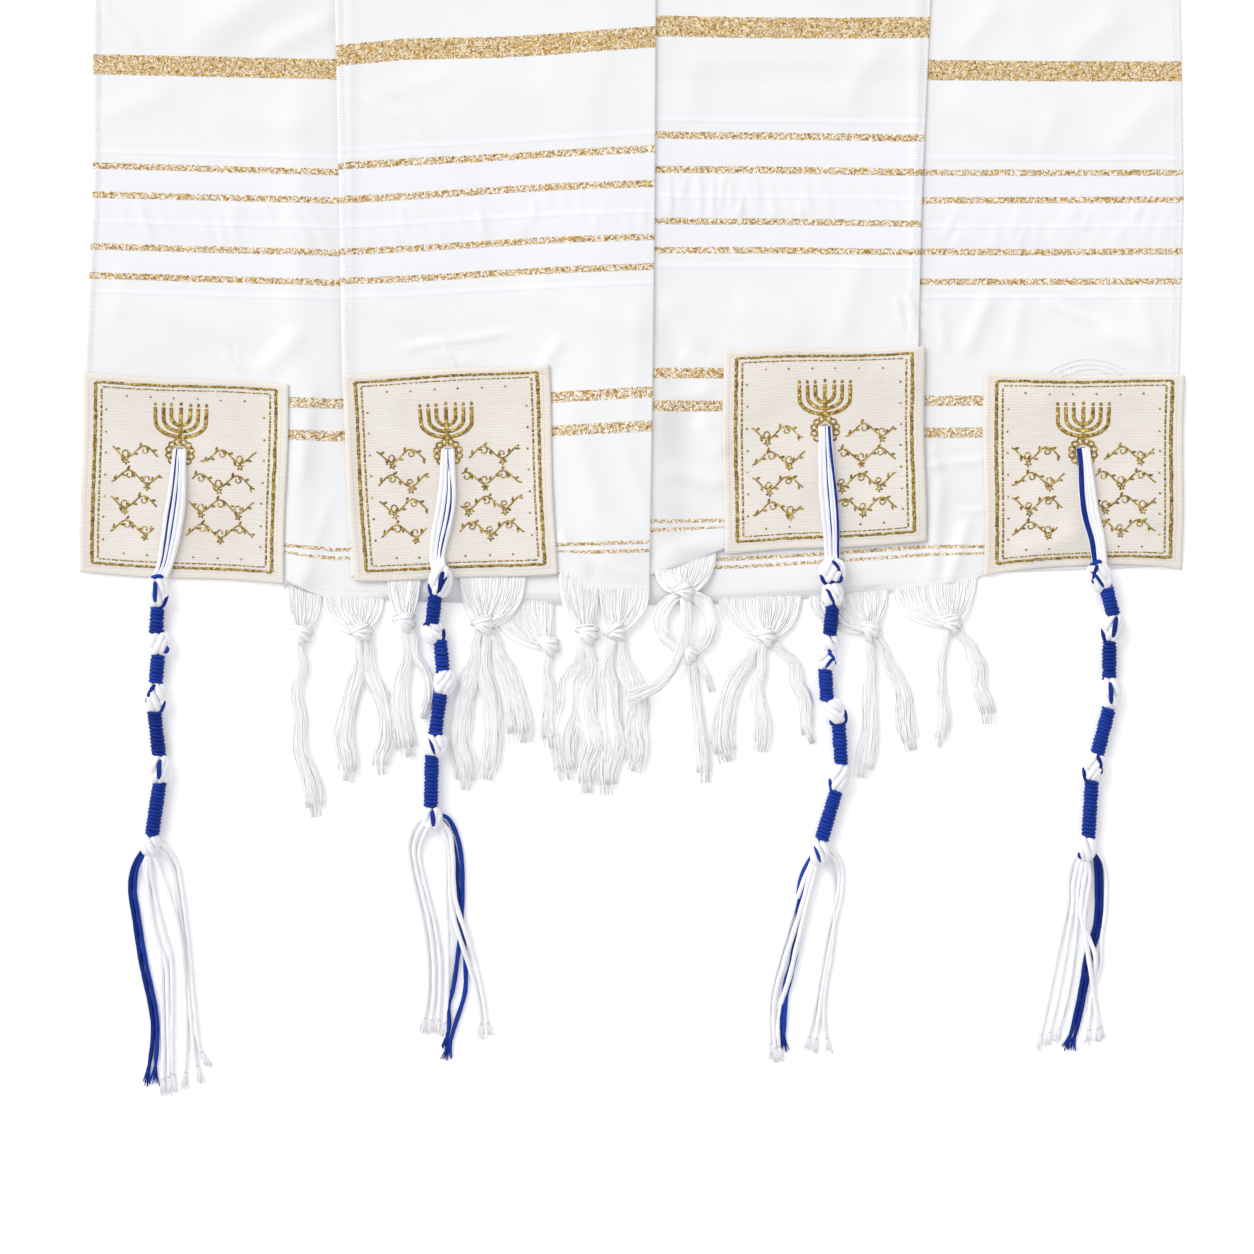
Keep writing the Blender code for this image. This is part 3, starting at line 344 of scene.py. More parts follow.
# ---------------------------------------------------------------- finishes
class Finish:
    """A procedural material, built up node by node."""

    def __init__(self, name):
        self.material = bpy.data.materials.new(name)
        self.material.use_nodes = True
        self.tree = self.material.node_tree
        self.shader = self.tree.nodes["Principled BSDF"]

    def put(self, socket, value):
        if isinstance(value, bpy.types.NodeSocket):
            self.tree.links.new(value, socket)
        elif value is not None:
            socket.default_value = value

    def node(self, kind, **settings):
        made = self.tree.nodes.new(kind)
        for key, value in settings.items():
            setattr(made, key, value)
        return made

    def sum(self, operation, a, b=None, c=None, clamp=False):
        made = self.node("ShaderNodeMath", operation=operation, use_clamp=clamp)
        for socket, value in zip(made.inputs, (a, b, c)):
            self.put(socket, value)
        return made.outputs[0]

    def attribute(self, name, colour=False):
        return self.node("ShaderNodeAttribute", attribute_name=name).outputs["Color" if colour else "Fac"]

    def place(self):
        return self.node("ShaderNodeNewGeometry").outputs["Position"]

    def vector(self, x, y, z=0.0):
        made = self.node("ShaderNodeCombineXYZ")
        for socket, value in zip(made.inputs, (x, y, z)):
            self.put(socket, value)
        return made.outputs[0]

    def stretch(self, vector, scale):
        made = self.node("ShaderNodeMapping", vector_type="POINT")
        self.put(made.inputs["Vector"], vector)
        made.inputs["Scale"].default_value = scale
        return made.outputs[0]

    def noise(self, vector, scale, detail=2.0, roughness=0.5, distortion=0.0):
        made = self.node("ShaderNodeTexNoise")
        self.put(made.inputs["Vector"], vector)
        made.inputs["Scale"].default_value = scale
        made.inputs["Detail"].default_value = detail
        made.inputs["Roughness"].default_value = roughness
        made.inputs["Distortion"].default_value = distortion
        return made.outputs[0]

    def voronoi(self, vector, scale, feature="DISTANCE_TO_EDGE"):
        made = self.node("ShaderNodeTexVoronoi", feature=feature)
        self.put(made.inputs["Vector"], vector)
        made.inputs["Scale"].default_value = scale
        return made.outputs[0]

    def ramp(self, value, low, high, to_low=0.0, to_high=1.0):
        made = self.node("ShaderNodeMapRange", interpolation_type="SMOOTHSTEP")
        for name, given in (("Value", value), ("From Min", low), ("From Max", high), ("To Min", to_low), ("To Max", to_high)):
            self.put(made.inputs[name], given)
        return made.outputs[0]

    def line(self, value, centre, half, soft=0.7):
        """1 within half of the centre, 0 outside it."""
        return self.ramp(self.sum("ABSOLUTE", self.sum("SUBTRACT", value, centre)), half - soft, half + soft, 1.0, 0.0)

    def mix(self, share, a, b):
        made = self.node("ShaderNodeMix", data_type="RGBA")
        self.put(made.inputs["Factor"], share)
        for name, value in (("A", a), ("B", b)):
            socket = [s for s in made.inputs if s.name == name and s.type == "RGBA"][0]
            self.put(socket, (*value, 1.0) if isinstance(value, tuple) else value)
        return [s for s in made.outputs if s.type == "RGBA"][0]

    def bump(self, height, distance, strength=1.0, after=None):
        made = self.node("ShaderNodeBump")
        self.put(made.inputs["Height"], height)
        made.inputs["Distance"].default_value = distance
        made.inputs["Strength"].default_value = strength
        self.put(made.inputs["Normal"], after)
        return made.outputs[0]

    def done(self, colour, roughness, normal=None, sheen=0.0, specular=0.35, metallic=0.0, sheen_tint=(1, 1, 1)):
        for name, value in (("Base Color", colour), ("Roughness", roughness), ("Normal", normal), ("Metallic", metallic)):
            self.put(self.shader.inputs[name], (*value, 1.0) if isinstance(value, tuple) else value)
        self.shader.inputs["Specular IOR Level"].default_value = specular
        self.shader.inputs["Sheen Weight"].default_value = sheen
        self.shader.inputs["Sheen Roughness"].default_value = 0.4
        self.shader.inputs["Sheen Tint"].default_value = (*sheen_tint, 1.0)
        return self.material


def cloth_finish():
    f = Finish("white_satin_with_gold_stripes")
    across, up, edge, ghost, painted_shade = (f.attribute(name) for name in ("across", "up", "edge", "ghost", "painted_shade"))
    plane = f.vector(across, up)
    # stripes, with edges that wander by a part of a thread
    wander = f.sum("MULTIPLY", f.sum("SUBTRACT", f.noise(f.stretch(plane, (1.0, 0.05, 1.0)), 0.45, 2.0), 0.5), 1.6)
    level = f.sum("ADD", up, wander)
    thin = [f.line(level, LINES[name], 3.3) for name in ("thin_1", "thin_2", "thin_3", "thin_4")]
    wide = [f.line(level, LINES[name], 5.3) for name in ("low_wide", "high_wide")]
    band = f.line(level, LINES["band"], 10.3)
    pair = [f.line(level, LINES["pair"] + off, 1.8) for off in (-4.2, 4.2)]
    stripes = thin[0]
    for mask in [*thin[1:], *wide, band, *pair]:
        stripes = f.sum("MAXIMUM", stripes, mask)
    # gold yarn: short squiggles of dark and bright gold with white between them
    swirl = f.noise(plane, 0.19, 2.0, 0.55, 0.5)
    fleck = f.ramp(f.sum("SINE", f.sum("MULTIPLY", swirl, 31.0)), -0.70, 0.40)
    shades = f.noise(f.stretch(plane, (0.8, 1.0, 1.0)), 0.30, 3.0, 0.65)
    gold = f.mix(f.ramp(shades, 0.38, 0.60), (0.31, 0.150, 0.030), (0.67, 0.425, 0.125))
    striped = f.mix(fleck, (0.88, 0.84, 0.74), gold)
    # the band is the densest
    dense = f.mix(f.sum("ADD", 0.22, f.sum("MULTIPLY", fleck, 0.78)), (0.88, 0.80, 0.62), gold)
    gold_colour = f.mix(band, striped, dense)
    # white ground with satin zones of a cooler white
    satin = f.sum("MAXIMUM", f.line(up, (LINES["thin_1"] + LINES["thin_2"]) / 2, 14.0, 2.0), f.line(up, (LINES["thin_3"] + LINES["thin_4"]) / 2, 14.0, 2.0))
    gathered = f.line(up, (LINES["thin_2"] + LINES["thin_3"]) / 2, 24.0, 3.0)
    raised = f.line(up, 374.0, 2.3, 1.0)
    for centre in (303.5, 445.0):
        raised = f.sum("MAXIMUM", raised, f.line(up, centre, 2.3, 1.0))
    cloudy = f.noise(f.place(), 14.0, 3.0)
    ground = f.mix(f.ramp(cloudy, 0.3, 0.7), (0.826, 0.828, 0.846), (0.846, 0.846, 0.860))
    ground = f.mix(f.sum("MULTIPLY", gathered, 0.6), ground, (0.838, 0.836, 0.872))
    ground = f.mix(satin, ground, (0.836, 0.833, 0.876))
    ground = f.mix(f.sum("MULTIPLY", raised, 0.8), ground, (0.872, 0.864, 0.915))
    ground = f.mix(f.sum("MULTIPLY", ghost, 0.24), ground, (0.80, 0.74, 0.70))
    # painted shade: the ground colour is darkened to grey at the shade spots beside the folds
    ground = f.mix(f.sum("MULTIPLY", painted_shade, f.ramp(cloudy, 0.2, 0.75, 0.30, 0.60)), ground, (0.62, 0.615, 0.625))
    # stitches that hold the narrow hems
    beat = f.sum("SINE", f.sum("MULTIPLY", up, 1.7))
    zigzag = f.sum("ADD", f.sum("MULTIPLY", beat, 0.8), 7.4)
    stitch = f.sum("MULTIPLY", f.line(f.sum("SUBTRACT", edge, zigzag), 0.0, 0.5, 0.35), f.ramp(f.noise(plane, 0.5, 1.0), 0.42, 0.56))
    rungs = f.sum("MULTIPLY", f.line(edge, 5.6, 2.2, 0.6), f.ramp(f.sum("SINE", f.sum("MULTIPLY", up, 2.3)), 0.0, 0.5))
    stitch = f.sum("MAXIMUM", stitch, f.sum("MULTIPLY", rungs, f.ramp(f.noise(plane, 0.25, 1.0), 0.30, 0.50)))
    hem_beat = f.ramp(f.sum("SINE", f.sum("MULTIPLY", across, 1.3)), -0.3, 0.3)
    hem_stitch = f.sum("MULTIPLY", f.line(up, 8.0, 0.6, 0.4), hem_beat)
    sewn = f.sum("MAXIMUM", stitch, hem_stitch)
    ground = f.mix(f.sum("MULTIPLY", sewn, 0.50), ground, (0.66, 0.67, 0.71))
    colour = f.mix(stripes, ground, gold_colour)
    # weave, yarn and stitches as relief
    weave = f.sum("MULTIPLY", f.sum("SINE", f.sum("MULTIPLY", across, 6.0)), f.sum("SINE", f.sum("MULTIPLY", up, 6.0)))
    slub = f.noise(f.stretch(plane, (0.12, 1.6, 1.0)), 0.9, 2.0)
    relief = f.sum("ADD", f.sum("MULTIPLY", weave, 0.10), f.sum("MULTIPLY", slub, 0.20))
    relief = f.sum("ADD", relief, f.sum("MULTIPLY", raised, 1.3))
    relief = f.sum("ADD", relief, f.sum("MULTIPLY", stripes, f.sum("ADD", 0.5, f.sum("MULTIPLY", fleck, 1.2))))
    relief = f.sum("SUBTRACT", relief, f.sum("MULTIPLY", sewn, 0.8))
    rough = f.sum("SUBTRACT", 0.62, f.sum("MULTIPLY", satin, 0.16))
    rough = f.sum("SUBTRACT", rough, f.sum("MULTIPLY", stripes, 0.14))
    return f.done(colour, rough, f.bump(relief, 0.00011), sheen=0.08, specular=0.25)


def patch_finish():
    f = Finish("cream_ribbed_weave")
    across, up, edge = (f.attribute(name) for name in ("across", "up", "edge"))
    plane = f.vector(across, up)
    wander = f.sum("MULTIPLY", f.noise(f.stretch(plane, (0.05, 0.35, 1.0)), 1.0, 2.0), 5.0)
    rib = f.sum("SINE", f.sum("MULTIPLY", f.sum("ADD", up, wander), 2.35))
    yarn = f.noise(f.stretch(plane, (0.18, 1.2, 1.0)), 1.1, 3.0, 0.6)
    warp = f.sum("SINE", f.sum("MULTIPLY", across, 4.2))
    mottle = f.noise(f.place(), 26.0, 3.0)
    tone = f.sum("ADD", f.sum("MULTIPLY", rib, 0.06), f.sum("ADD", f.sum("MULTIPLY", yarn, 0.50), f.sum("MULTIPLY", mottle, 0.50)))
    colour = f.mix(f.ramp(tone, 0.26, 0.74), (0.735, 0.680, 0.620), (0.820, 0.778, 0.730))
    rim = f.ramp(edge, 0.0, 7.0, 1.0, 0.0)
    colour = f.mix(f.sum("MULTIPLY", rim, 0.35), colour, (0.86, 0.82, 0.77))
    fold = f.line(edge, 6.6, 0.6, 0.5)
    colour = f.mix(f.sum("MULTIPLY", fold, 0.16), colour, (0.56, 0.50, 0.43))
    relief = f.sum("ADD", f.sum("MULTIPLY", rib, 0.5), f.sum("ADD", f.sum("MULTIPLY", warp, 0.18), f.sum("MULTIPLY", yarn, 1.0)))
    relief = f.sum("SUBTRACT", relief, f.sum("MULTIPLY", fold, 1.2))
    return f.done(colour, 0.74, f.bump(relief, 0.00009), sheen=0.12, specular=0.2)


def gold_finish():
    f = Finish("gold_embroidery")
    along, tone = f.attribute("along"), f.attribute("tone")
    at = f.place()
    speck = f.noise(at, 1500.0, 3.0, 0.7, 1.0)
    shade = f.noise(at, 520.0, 2.0, 0.6)
    mixed = f.sum("ADD", f.sum("MULTIPLY", speck, 0.62), f.sum("MULTIPLY", shade, 0.38))
    dark = f.mix(f.ramp(mixed, 0.40, 0.50), (0.060, 0.026, 0.001), (0.36, 0.215, 0.018))
    colour = f.mix(f.ramp(mixed, 0.51, 0.60), dark, (0.92, 0.74, 0.27))
    colour = f.mix(f.sum("MULTIPLY", tone, 0.22), colour, (0.36, 0.22, 0.05))
    twill = f.sum("SINE", f.sum("MULTIPLY", along, 9000.0))
    return f.done(colour, 0.42, f.bump(f.sum("ADD", f.sum("MULTIPLY", twill, 0.5), speck), 0.00012), specular=0.5, metallic=0.25)


def thread_finish(name, dark, light, rough=0.6, sheen=0.25, tint=(1, 1, 1), specular=0.3):
    """Silky threads: long fibres that follow the thread, in one of two near shades."""
    f = Finish(name)
    along, round_, tone = f.attribute("along"), f.attribute("round"), f.attribute("tone")
    fibre = f.noise(f.vector(f.sum("MULTIPLY", along, 60.0), f.sum("MULTIPLY", round_, 3.2), f.sum("MULTIPLY", tone, 40.0)), 2.4, 3.0, 0.6)
    shade = f.sum("ADD", f.sum("MULTIPLY", fibre, 0.75), f.sum("MULTIPLY", tone, 0.25))
    colour = f.mix(f.ramp(shade, 0.25, 0.72), dark, light)
    return f.done(colour, rough, f.bump(fibre, 0.00016), sheen=sheen, specular=specular, sheen_tint=tint)


def floor_finish():
    f = Finish("plain_pale_floor")
    haze = f.noise(f.place(), 3.0, 2.0)
    f.shader.inputs["Emission Color"].default_value = (1.0, 1.0, 1.0, 1.0)
    f.shader.inputs["Emission Strength"].default_value = 0.13
    return f.done(f.mix(haze, (0.985, 0.985, 0.985), (0.99, 0.99, 0.99)), 0.9, specular=0.0)


# ---------------------------------------------------------------- meshes
def new_object(name, points, faces, materials, slots=None, attributes=None):
    mesh = bpy.data.meshes.new(name)
    mesh.from_pydata(points.tolist() if hasattr(points, "tolist") else points, [], faces)
    for material in materials:
        mesh.materials.append(material)
    if slots is not None:
        mesh.polygons.foreach_set("material_index", np.asarray(slots, np.int32))
    for key, values in (attributes or {}).items():
        layer = mesh.attributes.new(key, "FLOAT", "POINT")
        layer.data.foreach_set("value", np.asarray(values, np.float32))
    mesh.shade_smooth()
    mesh.update()
    obj = bpy.data.objects.new(name, mesh)
    bpy.context.scene.collection.objects.link(obj)
    return obj


class Threads:
    """Many tubes in one mesh."""

    def __init__(self, name, materials):
        self.name, self.materials = name, materials
        self.points, self.faces, self.slots = [], [], []
        self.along, self.round, self.tone = [], [], []
        self.count = 0

    def tube(self, path, radius, sides=6, lobes=0, depth=0.0, twist=0.0, tone=0.5, slot=0, flat=1.0, phase=0.0):
        """A closed tube along the path, in metres. Lobes make plies, which twist as they run; flat presses it in height."""
        path = np.asarray(path, float)
        n = len(path)
        radius = np.broadcast_to(np.asarray(radius, float), n)
        tangent = np.gradient(path, axis=0)
        tangent /= np.linalg.norm(tangent, axis=1)[:, None] + 1e-12
        up = np.array([0.0, 0.0, 1.0])
        side = np.cross(tangent[0], up)
        if np.linalg.norm(side) < 0.15:
            side = np.cross(tangent[0], np.array([1.0, 0.0, 0.0]))
        side /= np.linalg.norm(side)
        sides_at = np.empty_like(path)
        for i in range(n):
            side = side - tangent[i] * (side @ tangent[i])
            side /= np.linalg.norm(side)
            sides_at[i] = side
        other = np.cross(sides_at, tangent)
        run = np.concatenate([[0], np.cumsum(np.linalg.norm(np.diff(path, axis=0), axis=1))])
        angle = np.arange(sides) * 2 * math.pi / sides
        a = angle[None, :] + np.zeros((n, 1))
        r = radius[:, None] * np.ones((1, sides))
        if lobes:
            r = r * (1 - depth + depth * np.abs(np.cos(lobes / 2 * (a - twist * run[:, None] - phase))) * 1.6)
        points = path[:, None, :] + r[..., None] * (np.cos(a)[..., None] * sides_at[:, None, :] + flat * np.sin(a)[..., None] * other[:, None, :])
        base = self.count
        index = base + np.arange(n * sides).reshape(n, sides)
        nxt = np.roll(index, -1, axis=1)
        quads = np.stack([index[:-1], nxt[:-1], nxt[1:], index[1:]], axis=-1).reshape(-1, 4)
        self.points.append(points.reshape(-1, 3))
        self.faces += quads.tolist()
        self.faces.append(index[0, ::-1].tolist())
        self.faces.append(index[-1].tolist())
        self.slots += [slot] * (len(quads) + 2)
        self.along.append(np.repeat(run, sides))
        self.round.append(np.tile(np.cos(angle), n))
        self.tone.append(np.full(n * sides, tone))
        self.count += n * sides

    def build(self):
        points = np.vstack(self.points)
        attributes = {"along": np.concatenate(self.along), "round": np.concatenate(self.round), "tone": np.concatenate(self.tone)}
        return new_object(self.name, points, self.faces, self.materials, self.slots, attributes)


def boundary_walls(faces):
    """Pairs of edge points that only one face uses, in that face's order."""
    seen = {}
    for face in faces:
        for a, b in zip(face, face[1:] + face[:1]):
            if (b, a) in seen:
                del seen[(b, a)]
            else:
                seen[(a, b)] = True
    return list(seen)


# ---------------------------------------------------------------- the cloth's surface
def along_segment(x, y, x0, y0, x1, y1):
    """Distance to a segment, and how far past its ends, from 1 at its middle to 0 beyond them."""
    dx, dy = x1 - x0, y1 - y0
    long = math.hypot(dx, dy)
    t = ((x - x0) * dx + (y - y0) * dy) / long**2
    off = ((x - x0) * dy - (y - y0) * dx) / long
    taper = smooth_step((t + 0.18) / 0.36) * smooth_step((1.18 - t) / 0.36)
    return off, taper


def pattern_up(panel, x, y):
    """The woven pattern's height above the hem at a plan point of this panel."""
    xs, lines = WEAVE[panel]
    hem = hem_at(panel, x)
    names = ["pair", "low_wide", "high_wide", "thin_1", "thin_2", "thin_3", "thin_4", "band"]
    ys = [hem] + [np.interp(x, xs, lines[name]) for name in names]
    ups = [0.0] + [LINES[name] for name in names]
    up = np.full(np.shape(y), 0.0)
    for k in range(len(ys) - 1):
        share = (ys[k] - y) / (ys[k] - ys[k + 1])
        piece = ups[k] + share * (ups[k + 1] - ups[k])
        up = np.where((share >= 0) if k else True, piece, up) if k else piece
    above = ups[-1] + (ys[-1] - y)
    return np.where(y < ys[-1], above, up)


_gathers = {}


def gather_rows(panel):
    if panel not in _gathers:
        rng = random.Random("gathers " + panel)
        rows = []
        for x0, x1, spacing, half, height, lean in GATHERS[panel]:
            x = x0 + rng.uniform(0, spacing)
            while x < x1:
                middle = rng.uniform(358, 391)
                rows.append((x, middle, rng.uniform(9, 24), half * rng.uniform(0.7, 1.35), height * rng.uniform(0.35, 1.3), lean + rng.uniform(-0.22, 0.22)))
                x += spacing * rng.uniform(0.45, 1.35)
        _gathers[panel] = rows
    return _gathers[panel]


def relief(panel, x, y):
    """How far the laid cloth stands off its flat lie at a plan point, in mm."""
    lift = np.zeros(np.shape(x))
    for x0, y0, x1, y1, height, half in CREASES[panel]:
        off, taper = along_segment(x, y, x0, y0, x1, y1)
        ridge = np.exp(-((off / half) ** 2))
        if half < 7:
            ridge = ridge - 0.45 * np.exp(-(((off - 1.9 * half) / (1.3 * half)) ** 2))
        lift += height * ridge * taper
    for mx, my, rx, ry, height in MOUNDS[panel]:
        lift += height * np.exp(-((x - mx) / rx) ** 2 - ((y - my) / ry) ** 2)
    up = pattern_up(panel, x, y)
    zone = smooth_step((up - 350) / 9) * smooth_step((399 - up) / 9)
    for gx, middle, reach, half, height, lean in gather_rows(panel):
        off = x - gx + lean * (up - 374.0)
        lift += zone * height * np.exp(-((off / half) ** 2)) * np.exp(-(((up - middle) / reach) ** 2))
    # the stripes pull the cloth a little tighter than the ground between them
    for name in ("thin_1", "thin_2", "thin_3", "thin_4"):
        lift -= 0.10 * np.exp(-(((up - LINES[name]) / 5.0) ** 2))
    # slow waves that no two places share
    lift += 0.22 * np.sin(x / 41.0 + 0.9 * np.sin(y / 67.0)) * np.cos(y / 53.0 + 0.7 * np.sin(x / 83.0)) + 0.22
    return np.maximum(lift, -0.12)


def puffed(y):
    """How far the right end's fold stands up under the left end, in mm."""
    return 2.5 * smooth_step((y - 330.0) / 100.0) * smooth_step((572.0 - y) / 45.0) + 0.7 * smooth_step((y + 60.0) / 80.0) * smooth_step((300.0 - y) / 80.0)


def climb(side, x, y):
    if side != "left":
        return np.zeros(np.shape(x))
    return (OVERLAP_LIFT + puffed(y)) * smooth_step((x - edge_at(RIGHT_FOLD, y) + RAMP[0]) / (RAMP[0] - RAMP[1])) * smooth_step((y + 600.0) / 200.0)


def hidden_fade(side, panel, x, y):
    """0 where the narrow panel or the other end covers this panel, 1 where it shows."""
    if panel == "back":
        front = edge_at(LEFT_FRONT if side == "left" else RIGHT_FRONT, y)
        past = (front - x) if side == "left" else (x - front)
        low = hem_at(f"{side}_front", x)
        return np.maximum(smooth_step((past + 2) / 10), smooth_step((y - low + 2) / 8))
    if side == "right":
        return smooth_step((x - edge_at(LEFT_FOLD, y) + 2) / 12)
    return np.ones(np.shape(x))


def surface_z(side, panel, x, y):
    """Height in mm of the middle of the cloth's wall, away from the fold."""
    flat = LOW if panel == "back" else HIGH
    if side == "right" and panel == "front":
        flat = flat + puffed(y) * (1.0 - smooth_step((x - 651.0) / 42.0))
    return flat + climb(side, x, y) + relief(f"{side}_{panel}", x, y) * hidden_fade(side, panel, x, y)


def spaced(a, b, step):
    return np.linspace(a, b, max(2, int(round(abs(b - a) / step)) + 1))


def end_columns(side):
    """Columns across the cloth, and which of them are fine on the wide panel."""
    if side == "left":
        shown = 0.455
        back = np.concatenate([[0.0, 0.002], np.linspace(0.005, shown, 104), np.linspace(shown, 0.84, 16)[1:], np.linspace(0.85, 1.0, 17)])
        front = np.concatenate([np.linspace(0.0, 0.994, 134)[1:], [0.998, 1.0]])
    else:
        shown = 0.475
        back = np.concatenate([[0.0, 0.002], np.linspace(0.005, shown, 108), np.linspace(shown, 1.0, 18)[1:]])
        front = np.concatenate([np.linspace(0.0, 0.115, 7)[1:], np.linspace(0.115, 0.994, 124)[1:], [0.998, 1.0]])
    columns = [("back", share, 0.0) for share in back]
    columns += [("fold", 0.0, math.pi * k / 8) for k in range(1, 8)]
    columns += [("front", share, 0.0) for share in np.concatenate([[0.0], front])]
    return columns, len(back), int(np.searchsorted(back, shown)) + 1


def column_points(side, column, y):
    """x, height of the wall's middle, outward direction and panel position of a column at these y."""
    panel, share, angle = column
    selvage, front, fold = (LEFT_EDGE, LEFT_FRONT, LEFT_FOLD) if side == "left" else (RIGHT_EDGE, RIGHT_FRONT, RIGHT_FOLD)
    out = 1.0 if side == "left" else -1.0
    middle, radius = (LOW + HIGH) / 2, (HIGH - LOW) / 2
    turn = edge_at(fold, y) - out * (radius + WALL / 2) / 1000 / UNIT
    if panel == "back":
        x = edge_at(selvage, y) + share * (turn - edge_at(selvage, y))
        return x, surface_z(side, "back", x, y), 0.0, -1.0
    if panel == "front":
        x = turn + share * (edge_at(front, y) - turn)
        return x, surface_z(side, "front", x, y), 0.0, 1.0
    x = turn + out * radius * math.sin(angle) / 1000 / UNIT
    low, high = surface_z(side, "back", turn, y), surface_z(side, "front", turn, y)
    share = (1 - math.cos(angle)) / 2
    return x, low + (high - low) * share, out * math.sin(angle), -math.cos(angle)


def build_end(side, material):
    columns, backs, shown = end_columns(side)
    hems = []
    for panel, share, angle in columns:
        name = {"back": "back", "front": "front"}.get(panel, "back" if angle < math.pi / 2 else "front")
        y = np.array(590.0)
        for _ in range(5):
            x = column_points(side, (panel, share, angle), y)[0]
            y = hem_at(f"{side}_{name}", x)
        hems.append(float(y))
    # the fold joins two hems of different heights
    joins = [i for i, c in enumerate(columns) if c[0] == "fold"]
    first, last = hems[joins[0] - 1], hems[joins[-1] + 1]
    for k, i in enumerate(joins):
        hems[i] = first + (last - first) * smooth_step((k + 1) / (len(joins) + 1))
    shares = np.concatenate([[0.0, 0.004], np.linspace(0.009, 1.0, 158)])
    upper = np.linspace(0.0, 1.0, 40)[1:]
    rows = len(shares) + len(upper)
    count = len(columns)
    outer, inner = np.empty((rows, count, 3)), np.empty((rows, count, 3))
    across, up, edge, ghost, painted_shade = (np.zeros((rows, count)) for _ in range(5))
    run = 0.0
    last_x = None
    for c, column in enumerate(columns):
        panel, share, angle = column
        corner = column_points(side, column, np.array(NECK_LOW))[0]
        top = NECK_LOW - (corner - edge_at(LEFT_EDGE, NECK_LOW)) if side == "left" else NECK_LOW + (corner - edge_at(RIGHT_EDGE, NECK_LOW))
        y = np.concatenate([hems[c] + (-12.0 - hems[c]) * shares, -12.0 + (top + 12.0) * upper])
        x, z, nx, nz = column_points(side, column, y)
        middle_x = float(np.mean(x[:150]))
        run += abs(middle_x - last_x) if last_x is not None else 0.0
        last_x = middle_x
        selvage = 0.0
        if panel == "back":
            selvage = np.abs(x - edge_at(LEFT_EDGE if side == "left" else RIGHT_EDGE, y))
        elif panel == "front":
            selvage = np.abs(x - edge_at(LEFT_FRONT if side == "left" else RIGHT_FRONT, y))
        else:
            selvage = np.full(rows, 200.0)
        key = f"{side}_back" if panel == "back" or (panel == "fold" and angle < math.pi / 2) else f"{side}_front"
        level = pattern_up(key, x, y)
        wall = WALL * (1 + 0.75 * smooth_step((7.5 - selvage) / 1.5) + 0.75 * smooth_step((9.0 - level) / 1.5))
        wall = wall * np.where(selvage < 0.6, 0.35, 1.0) * np.where(level < 0.6, 0.35, 1.0)
        half = wall / 2
        outer[:, c] = on_plan(x + nx * half / 1000 / UNIT, y, z + nz * half)
        inner[:, c] = on_plan(x - nx * half / 1000 / UNIT, y, z - nz * half)
        across[:, c] = run if side == "left" else run + 1000.0
        up[:, c], edge[:, c] = level, selvage
        # painted shade: how much the cloth's colour is darkened here, from the shade spots beside the folds
        painted_shade[:, c] = sum(share * np.exp(-((x - hx) / rx) ** 2 - ((y - hy) / ry) ** 2) for hx, hy, rx, ry, share in PAINTED_SHADE_SPOTS.get(key, ()))
        if key == "right_front":
            ghost[:, c] = smooth_step((84 - y) / 5) * smooth_step((y - 58) / 5)
    return grid_shell(f"shawl_{side}_end", outer, inner, {"across": across, "up": up, "edge": edge, "ghost": ghost, "painted_shade": painted_shade}, material, (0, shown), (backs, count - 1))


def grid_shell(name, outer, inner, attributes, material, fine_inner, fine_outer):
    """A thin closed shell. Each face is fine in the columns that show on it, and coarse in the rest."""
    rows, count = outer.shape[:2]
    size = rows * count

    def blocks(fine):
        stops = sorted({0, fine[0], fine[1], count - 1})
        return [(a, b, a >= fine[0] and b <= fine[1]) for a, b in zip(stops, stops[1:])]

    faces = []
    for side, fine in ((0, fine_outer), (1, fine_inner)):
        base = side * size
        mine = []
        for a, b, is_fine in blocks(fine):
            if is_fine:
                r, c = np.meshgrid(np.arange(rows - 1), np.arange(a, b), indexing="ij")
                i = (base + r * count + c).ravel()
                mine += np.stack([i, i + 1, i + count + 1, i + count], axis=-1).tolist()
                continue
            row_stops = sorted({*range(0, rows - 1, 4), rows - 1})
            column_stops = sorted({*range(a, b, 3), b})
            for r0, r1 in zip(row_stops, row_stops[1:]):
                for c0, c1 in zip(column_stops, column_stops[1:]):
                    low = range(c0, c1) if r0 == 0 else [c0]
                    right = range(r0, r1) if c1 == b else [r0]
                    high = range(c1, c0, -1) if r1 == rows - 1 else [c1]
                    left = range(r1, r0, -1) if c0 == a else [r1]
                    mine.append([base + r0 * count + c for c in low] + [base + r * count + c1 for r in right] + [base + r1 * count + c for c in high] + [base + r * count + c0 for r in left])
        faces += [face[::-1] for face in mine] if side else mine
    rim = [(r * count, (r + 1) * count) for r in range(rows - 1)] + [((r + 1) * count + count - 1, r * count + count - 1) for r in range(rows - 1)]
    rim += [(c + 1, c) for c in range(count - 1)] + [((rows - 1) * count + c, (rows - 1) * count + c + 1) for c in range(count - 1)]
    faces += [[a, b, b + size, a + size] for a, b in rim]
    points = np.vstack([outer.reshape(-1, 3), inner.reshape(-1, 3)])
    used = np.zeros(len(points), bool)
    for face in faces:
        used[face] = True
    renumber = np.cumsum(used) - 1
    faces = [[int(renumber[i]) for i in face] for face in faces]
    if volume_of(points[used], faces) < 0:
        faces = [face[::-1] for face in faces]
    kept = {key: np.concatenate([v.ravel(), v.ravel()])[used] for key, v in attributes.items()}
    return new_object(name, points[used], faces, [material], None, kept)


